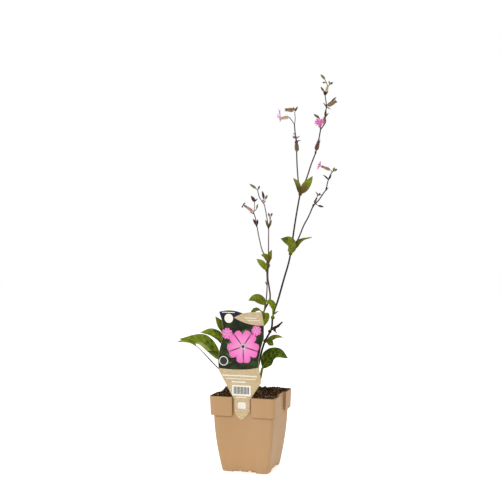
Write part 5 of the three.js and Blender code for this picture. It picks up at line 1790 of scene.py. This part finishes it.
def petal(body, place, turn, start, length, form, seed):
    columns = [2 * c / (PETAL_COLUMNS - 1) - 1 for c in range(PETAL_COLUMNS)]
    crumple = 0.25 + 0.9 * form.faded
    top, bottom, shares = [], [], []
    for r in range(PETAL_ROWS + 1):
        share = r / PETAL_ROWS
        line_top, line_bottom = [], []
        for column in columns:
            rounded = 1 - 0.10 * abs(column) ** 6
            out = share * length * lobe_reach(form.lobes, column) * rounded
            side = column * form.half_width * (0.1 + 0.9 * math.sin(math.pi / 2 * share))
            angle = form.splay + form.droop * out / length
            radius = start + out * math.sin(angle)
            ruffle = noise.noise(Vector((share * 3.4, column * 2.2, seed * 3.1)))
            vein = 0.03 * math.cos(column * 24) * share
            rise = out * math.cos(angle) + 0.25 * abs(column) * form.half_width * share
            rise += crumple * ruffle * share + vein
            distance, bearing = math.hypot(radius, side), turn + math.atan2(side, radius)
            thick = 0.09 + 0.07 * (1 - share)
            line_top.append(place(distance, bearing, rise + thick))
            line_bottom.append(place(distance, bearing, rise - thick))
        top.append(line_top)
        bottom.append(line_bottom)
        shares.append([share] * PETAL_COLUMNS)
    sides = [[0.5 + 0.5 * column for column in columns]] * (PETAL_ROWS + 1)
    sheet(body, top, bottom, along=shares, side=sides)


def corolla(name, bloom, paint, slot, seed):
    """Petals on a short tube, with the scales in its throat while they are fresh."""
    start, end = spot(bloom.foot), spot(bloom.mouth)
    along = unit(end - start)
    form = bloom.petals
    count = len(form.lengths)
    throat = 0.4 * bloom.girth - 0.25
    tip = end + along * (bloom.teeth + 1.6)
    place = frame_along(end + along * (bloom.teeth + 0.9), tip)
    body = Body()
    places = [end + along * (GAP - 1.0), mix(end, tip, 0.5), tip]
    tube(body, places, lambda share: throat * (1 + 0.5 * share**3), 20, 0.4, side=0.5)
    for i, length in enumerate(form.lengths):
        petal(body, place, math.tau * i / count, 0.6 * throat, length, form, seed * 7 + i)
    for i in range(0 if form.faded else 2 * count):
        angle = math.tau * (i + 0.5) / (2 * count)
        low, high = place(0.75 * throat, angle, 0.3), place(1.15 * throat, angle, 1.5)
        places = [low, mix(low, high, 0.5), high]
        tube(body, places, lambda share: 0.26 * (1.05 - share**3), 8, 0.25, scale=1.0)
    body.make(f"petals_{name}_fine", paint, slot, (f"petals_{name}",))


def petal_paint(name, deep, pale, throat, roughness=0.5, depth=0.28):
    """Streaked petals, dark or pale near the throat as far as depth along them."""
    paint = Paint(name, roughness, 0.35, 0.1, (0.8, 0.3, 0.6))
    along = paint.mark("along")
    streak = paint.math("SINE", paint.times(paint.mark("side"), 75.0))
    color = paint.blend(paint.span(paint.noise(260, 4), 0.38, 0.62), deep, pale)
    color = paint.blend(paint.span(streak, 0.5, 1.0, 0, 0.35), color, darker(deep, 0.6))
    color = paint.blend(paint.span(along, 0.0, depth, 0.9, 0.0), color, throat)
    color = paint.blend(paint.span(along, 0.9, 1.0, 0.0, 0.3), color, pale)
    color = paint.blend(paint.mark("scale"), color, (0.80, 0.62, 0.72))
    paint.color(paint.blend(paint.times(paint.mark("under"), 0.25), color, (0.75, 0.5, 0.62)))
    paint.rough(paint.noise(700, 3), roughness - 0.1, roughness + 0.1)
    paint.bump(paint.plus(paint.noise(1500, 3), streak), 0.06, 0.7)
    return paint.material


def blooms():
    sepal = calyx_paint()
    pink = petal_paint("petal", (0.60, 0.035, 0.33), (0.84, 0.27, 0.62), (0.36, 0.06, 0.20))
    lilac = petal_paint("petal_lilac", (0.50, 0.16, 0.34), (0.86, 0.56, 0.76), (0.16, 0.03, 0.05), depth=0.5)
    faded = petal_paint("withered_petal", (0.055, 0.012, 0.02), (0.15, 0.04, 0.045), (0.10, 0.03, 0.03), 0.75)
    for seed, (name, bloom) in enumerate(BLOOMS.items()):
        calyx(name, bloom, sepal)
        if bloom.petals and bloom.petals.faded:
            corolla(name, bloom, faded, "withered_petal", seed)
        elif bloom.petals:
            corolla(name, bloom, lilac if name == "left_top" else pink, "petal", seed)


camera()
studio()
floor()
pot()
soil()
label()
stems()
leaves()
dead_leaf()
blooms()

bpy.context.view_layer.update()
